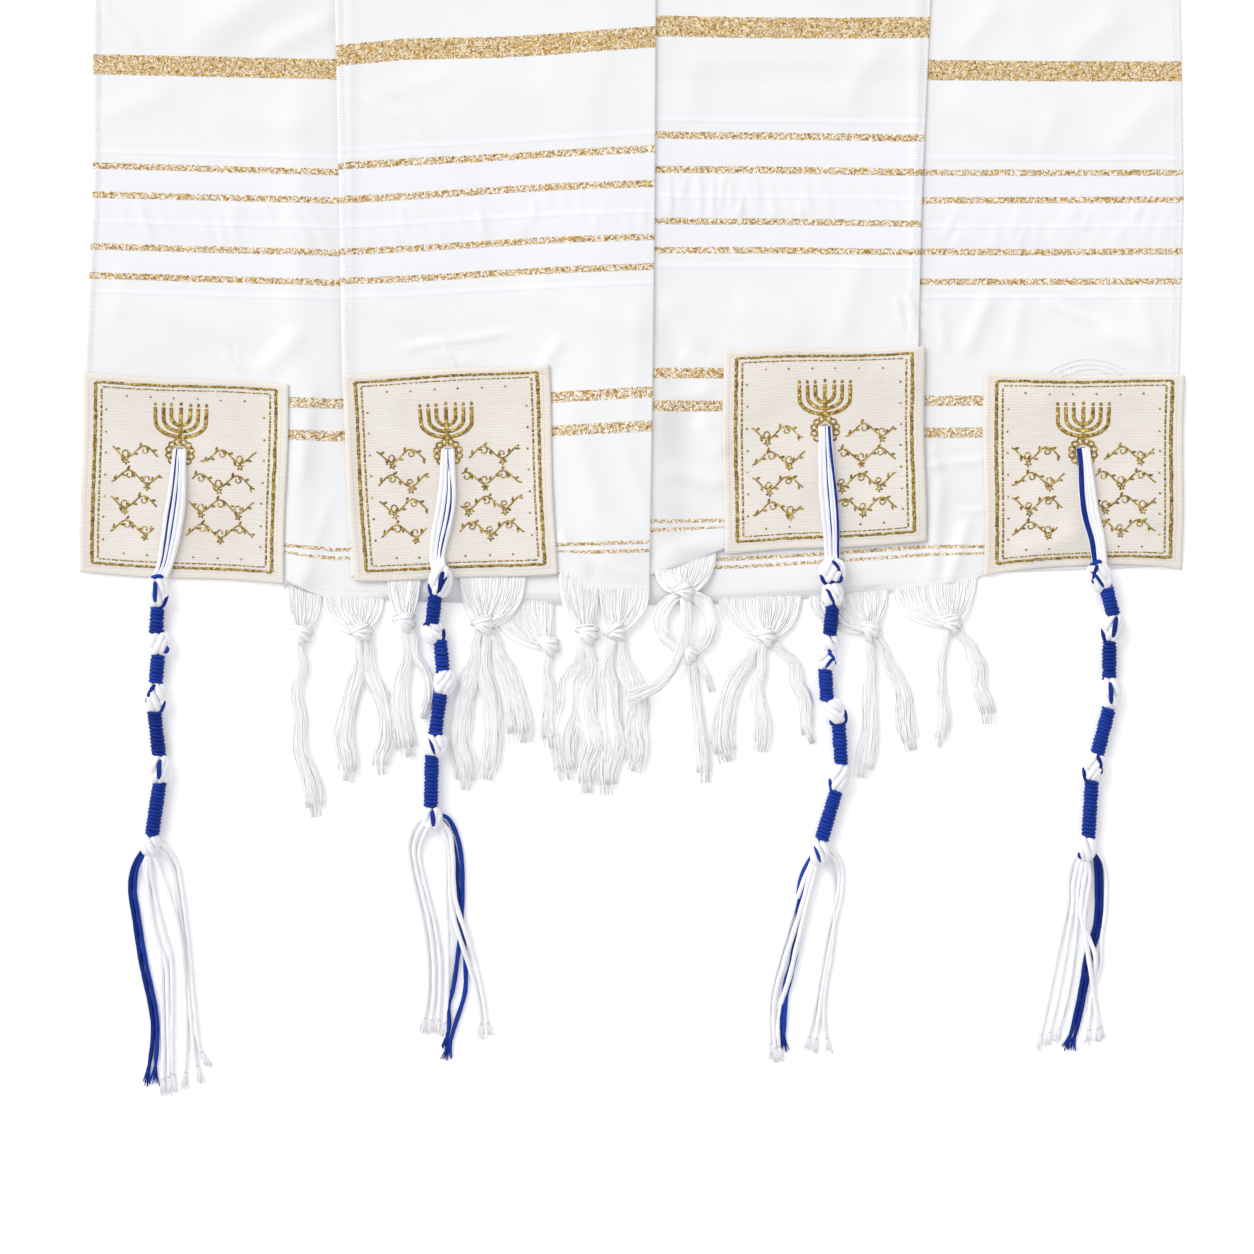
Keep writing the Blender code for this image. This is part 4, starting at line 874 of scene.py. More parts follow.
def volume_of(points, faces):
    total = 0.0
    sample = faces
    for face in sample:
        a = points[face[0]]
        for i in range(1, len(face) - 1):
            b, c = points[face[i]], points[face[i + 1]]
            total += a[0] * (b[1] * c[2] - b[2] * c[1]) + a[1] * (b[2] * c[0] - b[0] * c[2]) + a[2] * (b[0] * c[1] - b[1] * c[0])
    return total / 6


def build_neck(material):
    """The neck stretch, face down on both ends, with the mitre fold at each side."""
    middle = TURN_HEIGHT / 2
    back = np.concatenate([[0.0], np.linspace(0.012, 1.0, 36)])
    front = np.linspace(0.0, 1.0, 26)
    columns = [("back", share, 0.0) for share in back] + [("fold", 0.0, math.pi * k / 6) for k in range(1, 6)] + [("front", share, 0.0) for share in front]
    radius_of_fold = (HIGH - LOW) / 2
    turn_cells, across_cells = 9, 50
    walls = []
    for face in (1.0, -1.0):
        rows = []
        for panel, share, angle in columns:
            share_of = {"back": ("back", share), "front": ("front", share)}.get(panel, ("back", 1.0) if angle < math.pi / 2 else ("front", 0.0))
            height = LOW if panel == "back" else HIGH if panel == "front" else (LOW + HIGH) / 2 - radius_of_fold * math.cos(angle)
            outward = (0.0, -1.0) if panel == "back" else (0.0, 1.0) if panel == "front" else (math.sin(angle), -math.cos(angle))
            z = height + face * WALL / 2 * outward[1]
            swell = (radius_of_fold * math.sin(angle) + face * WALL / 2 * outward[0]) / 1000 / UNIT
            radius = middle - z
            ends = {}
            for side in ("left", "right"):
                x = float(column_points(side, (share_of[0], share_of[1], 0.0), np.array(NECK_LOW))[0])
                ends[side] = (x, NECK_LOW - (x - 93.0) if side == "left" else NECK_LOW + (x - 1178.0))
            row = []
            for k in range(turn_cells + 1):
                turned = k / turn_cells
                a = math.pi * (1 - turned)
                reach = radius * math.sin(a) / 1000 / UNIT / math.sqrt(2)
                x, y = ends["left"]
                row.append((x - reach + swell * (1 - turned), y - reach - swell * turned, middle + radius * math.cos(a)))
            for k in range(1, across_cells):
                t = 0.5 * k / across_cells + 0.25 * (1 - math.cos(math.pi * k / across_cells))
                x = ends["left"][0] + (ends["right"][0] - ends["left"][0]) * t
                y = ends["left"][1] + (ends["right"][1] - ends["left"][1]) * t
                span = math.sin(math.pi * t)
                wave = 0.9 * span * (math.exp(-(((x - 420 - (y + 800) * 0.5) / 34) ** 2)) + math.exp(-(((x - 800 + (y + 850) * 0.4) / 42) ** 2)) + 0.6 * math.exp(-(((y + 760 - (x - 600) * 0.06) / 26) ** 2)) + 0.5 * math.exp(-(((y + 930 + (x - 600) * 0.08) / 30) ** 2)))
                # the cloth sinks from the mitre folds onto the ends
                beside = min(x - ends["left"][0], ends["right"][0] - x)
                sunk = (4.3 + 0.5 * smooth_step((-650.0 - y) / 80.0)) * smooth_step(beside / (72.0 + 12.0 * math.sin(y / 55.0)))
                row.append((x, y - swell, middle + radius + wave - sunk))
            for k in range(turn_cells + 1):
                turned = k / turn_cells
                a = math.pi * turned
                reach = radius * math.sin(a) / 1000 / UNIT / math.sqrt(2)
                x, y = ends["right"]
                row.append((x + reach - swell * turned, y - reach - swell * (1 - turned), middle + radius * math.cos(a)))
            rows.append(row)
        grid = np.array(rows, float).transpose(1, 0, 2)
        walls.append(on_plan(grid[..., 0], grid[..., 1], grid[..., 2]))
    shape = walls[0].shape[:2]
    across = np.broadcast_to(np.linspace(0, 876, shape[1]), shape)
    up = np.broadcast_to(np.linspace(1200, 2300, shape[0])[:, None], shape)
    distance = np.minimum(across, 876 - across)
    attributes = {"across": across, "up": up, "edge": distance, "ghost": np.zeros(shape), "painted_shade": np.zeros(shape)}
    return grid_shell("shawl_neck", walls[0], walls[1], attributes, material, (0, shape[1] - 1), (0, shape[1] - 1))


# ---------------------------------------------------------------- patches
class Patch:
    """Places on a patch, by shares of its width and height."""

    def __init__(self, name):
        self.name = name
        tl, tr, br, bl, self.eyelet, self.panel, self.rise = PATCHES[name]
        self.corners = [np.array(p, float) for p in (tl, tr, br, bl)]
        self.width = (np.linalg.norm(self.corners[1] - self.corners[0]) + np.linalg.norm(self.corners[2] - self.corners[3])) / 2
        self.height = (np.linalg.norm(self.corners[3] - self.corners[0]) + np.linalg.norm(self.corners[2] - self.corners[1])) / 2
        self.hole = self.inverse(*self.eyelet)

    def plan(self, u, v):
        u, v = np.asarray(u, float), np.asarray(v, float)
        tl, tr, br, bl = self.corners
        ones = [(1 - u) * (1 - v), u * (1 - v), u * v, (1 - u) * v]
        x = sum(w * p[0] for w, p in zip(ones, (tl, tr, br, bl)))
        y = sum(w * p[1] for w, p in zip(ones, (tl, tr, br, bl)))
        # soft, not ruled, edges
        rng = sum(ord(ch) for ch in self.name)
        x = x + 0.9 * np.sin(v * 7.0 + rng) * (np.abs(u - 0.5) * 2) ** 3
        y = y + 0.9 * np.sin(u * 8.0 + rng * 1.7) * (np.abs(v - 0.5) * 2) ** 3
        y = y - self.rise * np.clip(v, 0, 1) ** 6 * np.sin(math.pi * np.clip(u, 0, 1))
        return x, y

    def inverse(self, px, py):
        u, v = 0.5, 0.4
        for _ in range(40):
            x, y = self.plan(u, v)
            u -= (float(x) - px) / self.width
            v -= (float(y) - py) / self.height
        return u, v

    def wave(self, u, v):
        lift = 0.0
        for u0, v0, u1, v1, height, half in PATCH_WAVES[self.name]:
            off, taper = along_segment(u, v, u0, v0, u1, v1)
            lift = lift + height * np.exp(-((off / half) ** 2)) * taper
        return lift

    def point(self, u, v, off_mm=0.0):
        x, y = self.plan(u, v)
        side, panel = self.panel.split("_")
        z = surface_z(side, panel, x, y) + PATCH_OFF + self.wave(np.asarray(u, float), np.asarray(v, float)) + off_mm
        return on_plan(x, y, z)

    def local(self, a, b):
        """Shares of the width and height for a place in plan units from the top left corner."""
        return np.asarray(a, float) / self.width, np.asarray(b, float) / self.height


def build_patch(name, material):
    patch = Patch(name)
    cells = 78
    u, v = np.meshgrid(np.linspace(0, 1, cells + 1), np.linspace(0, 1, cells + 1))
    hu, hv = patch.hole
    radius = 5.6
    du, dv = (u - hu) * patch.width, (v - hv) * patch.height
    far = np.hypot(du, dv)
    cell = patch.width / cells
    snap = np.abs(far - radius) < 0.72 * cell
    scale = np.where(snap, radius / np.maximum(far, 1e-6), 1.0)
    u = np.where(snap, hu + du * scale / patch.width, u)
    v = np.where(snap, hv + dv * scale / patch.height, v)
    far = np.hypot((u - hu) * patch.width, (v - hv) * patch.height)
    edge = np.minimum(np.minimum(u, 1 - u) * patch.width, np.minimum(v, 1 - v) * patch.height)
    # turned-in edges are a little fuller, and the eyelet is worked over
    half = PATCH_WALL / 2 * (0.45 + 0.55 * smooth_step(edge / 2.0)) * (1 + 0.35 * smooth_step((7.5 - edge) / 2.0))
    worked = 0.35 * np.exp(-(((far - radius - 1.6) / 1.8) ** 2))
    top, low = patch.point(u, v, half + worked), patch.point(u, v, -half)
    rows = cells + 1
    faces = []
    for r in range(cells):
        for c in range(cells):
            corners = [r * rows + c, r * rows + c + 1, (r + 1) * rows + c + 1, (r + 1) * rows + c]
            centre = np.mean([far.ravel()[i] for i in corners])
            if centre > radius * 0.99 or min(far.ravel()[i] for i in corners) > radius - 1e-6:
                faces.append(corners)
    walls = boundary_walls(faces)
    size = rows * rows
    everything = [f[::-1] for f in faces] + [[i + size for i in f] for f in faces] + [[a, b, b + size, a + size] for a, b in walls]
    points = np.vstack([top.reshape(-1, 3), low.reshape(-1, 3)])
    used = np.zeros(len(points), bool)
    for f in everything:
        used[f] = True
    renumber = np.cumsum(used) - 1
    everything = [[int(renumber[i]) for i in f] for f in everything]
    if volume_of(points[used], everything) < 0:
        everything = [f[::-1] for f in everything]
    attributes = {"across": u * patch.width, "up": v * patch.height, "edge": edge}
    kept = {key: np.concatenate([a.ravel(), a.ravel()])[used] for key, a in attributes.items()}
    return patch, new_object(f"{name}_cloth", points[used], everything, [material], None, kept)


def stitched_line(threads, patch, route, width, height=0.30, step=2.2, tone=0.3):
    """A raised line of stitches along a route in plan units from the patch's top left corner."""
    pts = np.array(route, float)
    dense = [pts[0]]
    for a, b in zip(pts, pts[1:]):
        n = max(1, int(round(np.linalg.norm(b - a) / step)))
        dense += [a + (b - a) * k / n for k in range(1, n + 1)]
    dense = np.array(dense)
    u, v = patch.local(dense[:, 0], dense[:, 1])
    path = patch.point(u, v, PATCH_WALL / 2 + 0.02)
    threads.tube(path, width / 2 * UNIT, sides=6, flat=height / 1000 / (width / 2 * UNIT), tone=tone)


def dome(threads, patch, a, b, ra, rb, turn=0.0, height=0.38, tone=0.3, sides=8):
    """A raised spot of stitches, ra by rb, turned by this angle."""
    angle = np.arange(sides) * 2 * math.pi / sides
    rings = []
    for share, rise in ((1.0, -0.05), (0.72, 0.7), (0.3, 1.0)):
        x, y = ra * share * np.cos(angle), rb * share * np.sin(angle)
        u, v = patch.local(a + x * math.cos(turn) - y * math.sin(turn), b + x * math.sin(turn) + y * math.cos(turn))
        rings.append(patch.point(u, v, PATCH_WALL / 2 + height * rise))
    low = rings[0] - np.array([0, 0, 0.0001])
    points = np.vstack([low, *rings])
    base = threads.count
    index = base + np.arange(4 * sides).reshape(4, sides)
    nxt = np.roll(index, -1, axis=1)
    quads = np.stack([index[:-1], nxt[:-1], nxt[1:], index[1:]], axis=-1).reshape(-1, 4)
    threads.points.append(points)
    threads.faces += quads.tolist() + [index[0, ::-1].tolist(), index[-1].tolist()]
    threads.slots += [0] * (len(quads) + 2)
    threads.along.append(np.tile(ra * UNIT * np.cos(angle), 4))
    threads.round.append(np.tile(np.cos(angle), 4))
    threads.tone.append(np.full(4 * sides, tone))
    threads.count += 4 * sides


def build_embroidery(name, patch, material):
    """Gold border, dots, seven-branched lamp, ring round the eyelet and scrolling vines."""
    threads = Threads(f"{name}_embroidery", [material])
    rng = random.Random(name)
    w, h = patch.width, patch.height

    def wobbly(points, amount=0.35):
        return [(x + rng.uniform(-amount, amount), y + rng.uniform(-amount, amount)) for x, y in points]

    def run_of(a, b, step):
        n = max(1, int(round(math.dist(a, b) / step)))
        return [(a[0] + (b[0] - a[0]) * k / n, a[1] + (b[1] - a[1]) * k / n) for k in range(n + 1)]

    left, top_in, right, low = 12.8, 8.6, w - 12.4, h - 10.6
    corners = [(left, top_in), (right, top_in - 2.0), (right, low - 0.6), (left, low)]
    for k, (a, b) in enumerate(zip(corners, corners[1:] + corners[:1])):
        # the outer line is worked in short overlapping stretches, thinner along the top and the bottom
        line = run_of(a, b, 4.6)
        for p, q in zip(line, line[1:]):
            wide = rng.uniform(3.2, 4.2) if k % 2 else rng.uniform(2.3, 3.1)
            stitched_line(threads, patch, wobbly([p, q], 0.45), wide, 0.32, 2.4, rng.random())
    corners = [(left + 6.0, top_in + 4.4), (right - 6.0, top_in + 2.6), (right - 6.0, low - 5.0), (left + 6.0, low - 4.6)]
    for k, (a, b) in enumerate(zip(corners, corners[1:] + corners[:1])):
        long = math.dist(a, b)
        at = 1.0
        while at < long - 3:
            dash = rng.uniform(2.6, 6.0)
            p = (a[0] + (b[0] - a[0]) * at / long, a[1] + (b[1] - a[1]) * at / long)
            q = (a[0] + (b[0] - a[0]) * min(at + dash, long) / long, a[1] + (b[1] - a[1]) * min(at + dash, long) / long)
            stitched_line(threads, patch, wobbly([p, q], 0.2), 2.1 if k % 2 else 1.3, 0.24, 3.0, rng.random() * 0.8)
            at += dash + rng.uniform(0.7, 1.7)
    # dots inside the border
    dot_in = 22.0
    for k in range(6):
        x = w / 2 + (k - 2.5) * 23.5
        dome(threads, patch, x + rng.uniform(-0.7, 0.7), dot_in - 2.0 + rng.uniform(-0.5, 0.5), 1.35, 1.2, tone=0.4, sides=6)
        if abs(x - (patch.hole[0] * w - 6)) > 14:
            dome(threads, patch, x + rng.uniform(-0.7, 0.7), h - dot_in + rng.uniform(-0.5, 0.5), 1.35, 1.2, tone=0.4, sides=6)
    for k in range(7):
        y = h / 2 + (k - 3) * 21.5
        for x in (dot_in + 2.0, w - dot_in - 2.0):
            dome(threads, patch, x + rng.uniform(-0.5, 0.5), y + rng.uniform(-0.7, 0.7), 1.35, 1.2, tone=0.4, sides=6)
    # the lamp: three nested pairs of arms on a stem, with a small flame on each
    hx, hy = patch.hole[0] * w, patch.hole[1] * h
    top, foot = hy - 49.0, hy - 10.0
    stitched_line(threads, patch, run_of((hx, top + 3.5), (hx, foot), 3.0), 4.0, 0.45, 2.4, 0.1)
    for reach, bottom in ((25.6, top + 33.0), (17.4, top + 27.5), (9.6, top + 21.5)):
        arm = []
        for k in range(15):
            angle = math.pi * k / 14
            arm.append((hx - reach * math.cos(angle), bottom - (1 - math.sin(angle) ** 0.85) * (bottom - top - 4.0) * (1.0 if abs(math.cos(angle)) > 0.999 else 0.62)))
        arm = [(hx - reach, top + 4.0)] + arm[1:-1] + [(hx + reach, top + 4.0)]
        route = smooth_line([(x, y, 0.0) for x, y in arm], 2.2)
        stitched_line(threads, patch, route[:, :2], 3.9, 0.42, 2.2, 0.15)
    for reach in (-25.6, -17.4, -9.6, 0.0, 9.6, 17.4, 25.6):
        dome(threads, patch, hx + reach, top + (0.8 if reach else -0.4), 1.9, 2.1, tone=0.7)
    # the worked ring and its scallops round the eyelet
    ring = [(hx + 8.6 * math.cos(a), hy + 8.6 * math.sin(a)) for a in np.linspace(0, 2 * math.pi, 31)]
    stitched_line(threads, patch, ring, 3.2, 0.5, 3.0, 0.2)
    for k in range(12):
        angle = 2 * math.pi * (k + 0.5) / 12 - math.pi / 2
        cx, cy = hx + 11.4 * math.cos(angle), hy + 11.4 * math.sin(angle)
        loop = [(cx + 3.1 * math.cos(a + angle), cy + 2.6 * math.sin(a + angle)) for a in np.linspace(-2.2, 2.2, 8)]
        stitched_line(threads, patch, loop, 2.1, 0.32, 2.0, rng.random() * 0.6)
    # broad scrolling vines that run from side to side, with a curl in each bend, leaves and flowers
    wave, swing = 37.0, 6.2
    for row in range(4):
        y = hy + 1.0 + row * 25.0
        if y > h - 40:
            continue
        strip = hx - (y - hy) * 0.10
        clear = max(15.5, math.sqrt(max(0.0, 21.0**2 - (y - hy) ** 2)))
        for start, stop in ((w / 2 - 72.0, strip - clear), (strip + clear, w / 2 + 72.0)):
            if stop - start < 16:
                continue
            tone = rng.uniform(0.1, 0.9)
            phase = row * math.pi + rng.uniform(-0.4, 0.4)
            at = np.arange(start, stop, 2.4)
            stitched_line(threads, patch, list(zip(at, y + swing * np.sin(2 * math.pi * at / wave + phase))), 1.7, 0.28, 3.0, tone)
            for k in range(-8, 16):
                x = (math.pi * (k + 0.5) - phase) * wave / (2 * math.pi)
                side = 1 if k % 2 == 0 else -1
                if not start + 4.0 < x < stop - 4.0:
                    continue
                curl = []
                for q in range(13):
                    angle = side * math.pi / 2 + 1.75 * math.pi * q / 12
                    size = 4.4 - 2.9 * q / 12
                    curl.append((x + size * math.cos(angle), y + side * (swing - 4.4) + size * math.sin(angle)))
                stitched_line(threads, patch, curl, 1.4, 0.26, 2.6, rng.random())
                # a flower outside every other bend
                if side > 0:
                    for q in range(5):
                        angle = 2 * math.pi * q / 5 + phase
                        dome(threads, patch, x + 2.3 * math.cos(angle), y + swing + 3.6 + 2.3 * math.sin(angle), 1.9, 1.2, angle, 0.32, rng.random(), 6)
            for k in range(int((stop - start) / (wave / 6))):
                x = start + 3.0 + k * wave / 6
                if x > stop - 2.0:
                    break
                side = 1 if k % 2 else -1
                turn = side * 0.85 + 0.7 * math.cos(2 * math.pi * x / wave + phase)
                base = y + swing * math.sin(2 * math.pi * x / wave + phase)
                dome(threads, patch, x + 2.2 * math.cos(turn), base + 2.9 * math.sin(turn), 3.2, 1.5, turn, 0.32, rng.random(), 6)
    return threads.build()


# ---------------------------------------------------------------- corner tassels
def local_frame(along):
    along = np.array(along, float)
    along /= np.linalg.norm(along)
    side = np.cross(along, np.array([0.0, 0.0, 1.0]))
    side /= np.linalg.norm(side)
    return along, side, np.cross(side, along)


def add_knot(threads, core, centre, along, rng, long, wide, high, blues, sign):
    """A knot of fat white strings that lie slantwise over each other, with slivers of the blue one.

    long and wide are half sizes in mm, high is the height of its top over the centre. Blues names the slivers.
    """
    a, s, u = local_frame(along)
    mm = 0.001
    j = lambda amount: rng.uniform(-amount, amount)

    def lay(points, radius, slot=0, rise=0.0, into=threads):
        route = smooth_line([tuple(centre + mm * (p * a + sign * q * s + (r + rise) * u)) for p, q, r in points], 0.0009 if slot == 0 else 0.0007)
        shape = np.interp(np.linspace(0, 1, len(route)), [0, 0.14, 0.5, 0.86, 1], [0.62, 0.95, 1.0, 0.95, 0.62])
        into.tube(route, radius * mm * shape, sides=16 if slot == 0 else 8, lobes=6 if slot == 0 else 2, depth=0.13 if slot == 0 else 0.08, twist=150.0, tone=rng.random(), slot=slot, phase=rng.random() * 6)

    wide -= 0.5
    out = wide - 1.85
    lay([(-long + 1.3, 0, 0), (0, j(0.4), 0.1), (long - 1.3, 0, 0)], min(out, high) - 1.0, rise=-0.2, into=core)
    # loops round both sides
    lay([(-long + 0.9, -0.8, 0.1), (-long * 0.5, -out * 0.86 + j(0.3), 0.7), (long * 0.2, -out, 0.9 + j(0.3)), (long * 0.7, -out * 0.6, 0.7), (long - 0.8, -0.4, 0.0)], 1.85)
    lay([(-long + 0.8, 1.0, 0.1), (-long * 0.45, out * 0.9 + j(0.3), 0.9), (long * 0.3, out * 0.97, 0.8), (long * 0.75, out * 0.5, 0.6), (long - 0.8, 0.3, 0.0)], 1.85)
    # strings on the slant over the top
    lay([(-long + 0.5, 2.3, 0.2), (-long * 0.45, 1.9 + j(0.3), high - 2.5), (long * 0.1, 0.0 + j(0.3), high - 1.75), (long * 0.55, -1.9, high - 2.5), (long - 0.8, -2.5, 0.0)], 1.7)
    lay([(-long * 0.38, wide - 1.5, -0.2), (-long * 0.05, 3.2 + j(0.3), high - 2.7), (long * 0.45, 1.5 + j(0.3), high - 2.4), (long * 0.92, -0.2, 0.4)], 1.65)
    lay([(-long * 0.94, 0.1, 0.4), (-long * 0.58, -1.3 + j(0.3), high - 2.6), (-long * 0.1, -3.1 + j(0.3), high - 2.7), (long * 0.32, -wide + 1.5, -0.2)], 1.65)
    slivers = {
        "groove": ([(-long * 0.5, 3.3, high - 3.4), (-long * 0.15, 2.0, high - 1.35), (long * 0.3, 0.6, high - 1.05), (long * 0.68, -0.9, high - 2.4)], 0.80),
        "eye": ([(-long * 0.62, 0.9, high - 2.2), (-long * 0.2, 0.5, high - 0.75), (long * 0.2, 0.3, high - 0.65), (long * 0.6, 0.1, high - 1.9)], 1.05),
        "waist": ([(-long + 0.5, -2.6, 0.3), (-long + 0.1, -0.6, high - 2.7), (-long + 0.7, 1.8, high - 3.2), (-long + 1.2, 3.2, 0.4)], 0.90),
        "side": ([(-long * 0.05, -wide + 1.1, 0.2), (long * 0.4, -wide + 1.2, 1.7), (long * 0.85, -wide + 2.7, 1.5), (long + 0.1, -1.2, 0.5)], 0.85),
        "tip": ([(long * 0.3, out * 0.72, high - 3.0), (long * 0.5, out * 0.86, 2.1), (long * 0.74, out * 0.72, 1.6), (long * 0.8, out * 0.2, 0.8)], 0.80),
        "hook": ([(-long * 0.8, -0.8, high - 3.4), (-long * 0.55, 1.2, high - 1.5), (-long * 0.1, 2.9, high - 1.9), (long * 0.25, 3.9, high - 3.1), (long * 0.3, 4.4, 0.8)], 0.85),
    }
    for blue in blues:
        points, radius = slivers[blue]
        lay(points, radius + 0.25, 1, rise=0.2)


def add_windings(threads, start, end, rng, core=3.0):
    """Blue turns side by side from start to end, in metres, as one wound string."""
    mm = 0.001
    a, s, u = local_frame(end - start)
    long = np.linalg.norm(end - start)
    turns = max(3, int(round(long / (PITCH * mm))))
    steps = 18
    k = np.arange(turns * steps + 1)
    theta = 2 * math.pi * k / steps + rng.random() * 6
    turn = k / steps
    jitter = np.interp(turn, np.arange(turns + 2), [rng.uniform(-0.20, 0.20) for _ in range(turns + 2)])
    slide = np.interp(turn, np.arange(turns + 2), [rng.uniform(-0.24, 0.24) for _ in range(turns + 2)])
    # the turns lean a little, as they are wound on a slant
    lean = rng.uniform(-0.12, 0.12)
    r = (WINDING - 1.02 + jitter) * mm
    along = (turn / turns) * long + slide * mm + lean * r * np.cos(theta)
    path = start + along[:, None] * a + (r * np.cos(theta))[:, None] * s + (r * np.sin(theta))[:, None] * u
    threads.tube(path, 1.02 * mm, sides=8, lobes=2, depth=0.06, twist=300.0, tone=0.2 + 0.6 * rng.random(), slot=1)


def build_corner_tassel(name, patch_name, materials):
    rows = CORNER_TASSELS[name]
    rng = random.Random(name)
    patch = Patch(patch_name)
    strings = [row for row in rows if row[3] == "B"]
    stem = Threads(f"{name}_wound_stem", materials)
    knots = Threads(f"{name}_knots", materials)
    # strings over the patch: out of the eyelet, flat on the patch, up into the first knot
    first_knot = rows[len(strings)]
    eye_u, eye_v = patch.hole
    strip = [(strings[0][0], strings[0][1] - 3.5)] + [(x, y) for x, y, _, _ in strings[1:]] + [(first_knot[0], first_knot[1] - 7)]
    for off0, off1, off2, thick, colour in STRINGS[name]:
        count = 30
        t = np.linspace(0, 1, count)
        line = smooth_line([(x, y, 0.0) for x, y in strip], 1.0)
        at = np.linspace(0, 1, len(line))
        x, y = np.interp(t, at, line[:, 0]), np.interp(t, at, line[:, 1])
        off = np.where(t < 0.5, off0 + (off1 - off0) * smooth_step(t / 0.5), off1 + (off2 - off1) * smooth_step((t - 0.5) / 0.5))
        dx, dy = np.gradient(x), np.gradient(y)
        long = np.hypot(dx, dy)
        px, py = x + off * dy / long, y - off * dx / long
        side, panel = patch.panel.split("_")
        uu, vv = (px - patch.corners[0][0]) / patch.width, (py - patch.corners[0][1]) / patch.height
        ground = surface_z(side, panel, px, py) + PATCH_OFF + PATCH_WALL / 2 + patch.wave(np.clip(uu, 0, 1), np.clip(vv, 0, 1))
        arc = 0.7 * np.sin(math.pi * np.clip(t * 1.15, 0, 1))
        lift = thick / 2 * 0.74 + 0.12 + arc + ((1.45 if thick < 2 else 0.5) if colour == "B" else 0.0)
        z = ground + lift
        # out of the hole at the start, up to the knot at the end
        z = np.where(t < 0.08, z - 0.9 * (1 - t / 0.08) ** 1.3, z)
        z = z + (first_knot[2] + 0.3 - z) * smooth_step((t - 0.82) / 0.18)
        slot = 1 if colour == "B" else 0
        stem.tube(on_plan(px, py, z), thick / 2000, sides=12, lobes=4, depth=0.09, twist=90.0, tone=rng.random(), slot=slot, flat=0.80, phase=rng.random() * 6)
    # the core and its windings
    core = [(x, y, z) for x, y, z, size in rows[len(strings):]]
    fx, fy, fz = core[0]
    back = 9.0 / math.hypot(strings[-1][0] - fx, strings[-1][1] - fy)
    head = (fx + (strings[-1][0] - fx) * back, fy + (strings[-1][1] - fy) * back, fz)
    (ax, ay, _), (bx, by, bz) = core[-2:]
    beyond = 6.0 / math.hypot(bx - ax, by - ay)
    route = smooth_line([tuple(on_plan(x, y, z)) for x, y, z in [head, *core, (bx + (bx - ax) * beyond, by + (by - ay) * beyond, bz)]], 0.003)
    stem.tube(route, 0.0023, sides=8, tone=0.3, slot=1)
    looks = iter(KNOTS[name])
    for i, (x, y, z, size) in enumerate(rows):
        here = on_plan(x, y, z)
        if size == "W" and rows[i + 1][3] == "W":
            ahead = on_plan(*rows[i + 1][:3])
            towards = (ahead - here) / np.linalg.norm(ahead - here)
            add_windings(stem, here - towards * 0.0004, ahead + towards * 0.0004, rng)
        elif size in "KE":
            # a knot fills the stretch between the windings on both sides of it
            before, after = on_plan(*rows[i - 1][:3]), on_plan(*rows[min(i + 1, len(rows) - 1)][:3])
            if size == "E":
                after = here + (here - before) / np.linalg.norm(here - before) * 0.0055
            span = after - before
            half = np.linalg.norm(span) / 2 * 1000 + 0.7
            parts = next(looks)
            for k, (wide, high, blues, sign) in enumerate(parts):
                share = (k + 0.5) / len(parts)
                middle = before + span * share
                off = here - (before + span / 2)
                middle = middle + off * (1.0 if len(parts) == 1 else 0.5)
                middle[2] = here[2]
                add_knot(knots, stem, middle, span * np.array([1, 1, 0]), rng, half / len(parts) + (0.5 if len(parts) > 1 else 0.0), wide, high, blues, sign)
    # loose ends
    pieces = []
    exit_point = on_plan(rows[-1][0], rows[-1][1], rows[-1][2])
    for number, (colour, points) in enumerate(LOOSE[name], 1):
        rows_mm = []
        for j, point in enumerate(points):
            layer = point[2] if len(point) > 2 else 0
            z = TAIL_LOW + 2.15 * layer
            if j == 0:
                z = 4.2
            elif j == 1:
                z = max(z, 3.0)
            rows_mm.append((*on_plan(point[0], point[1], z),))
        line = smooth_line(rows_mm, 0.0014)
        thick = STRAND * (1.0 if colour == "W" else 0.94) / 2000
        line[:, 2] = np.maximum(line[:, 2], thick * 0.92)
        strand = Threads(f"{name}_end_{number}", materials)
        slot = 1 if colour == "B" else 0
        body = line[: int(len(line) * 0.945)]
        strand.tube(body, np.interp(np.linspace(0, 1, len(body)), [0, 0.05, 0.93, 1], [thick, thick, thick, thick * 0.7]), sides=12, lobes=4, depth=0.14, twist=120.0 * (1 if number % 2 else -1), tone=rng.random(), slot=slot, flat=0.90, phase=rng.random() * 6)
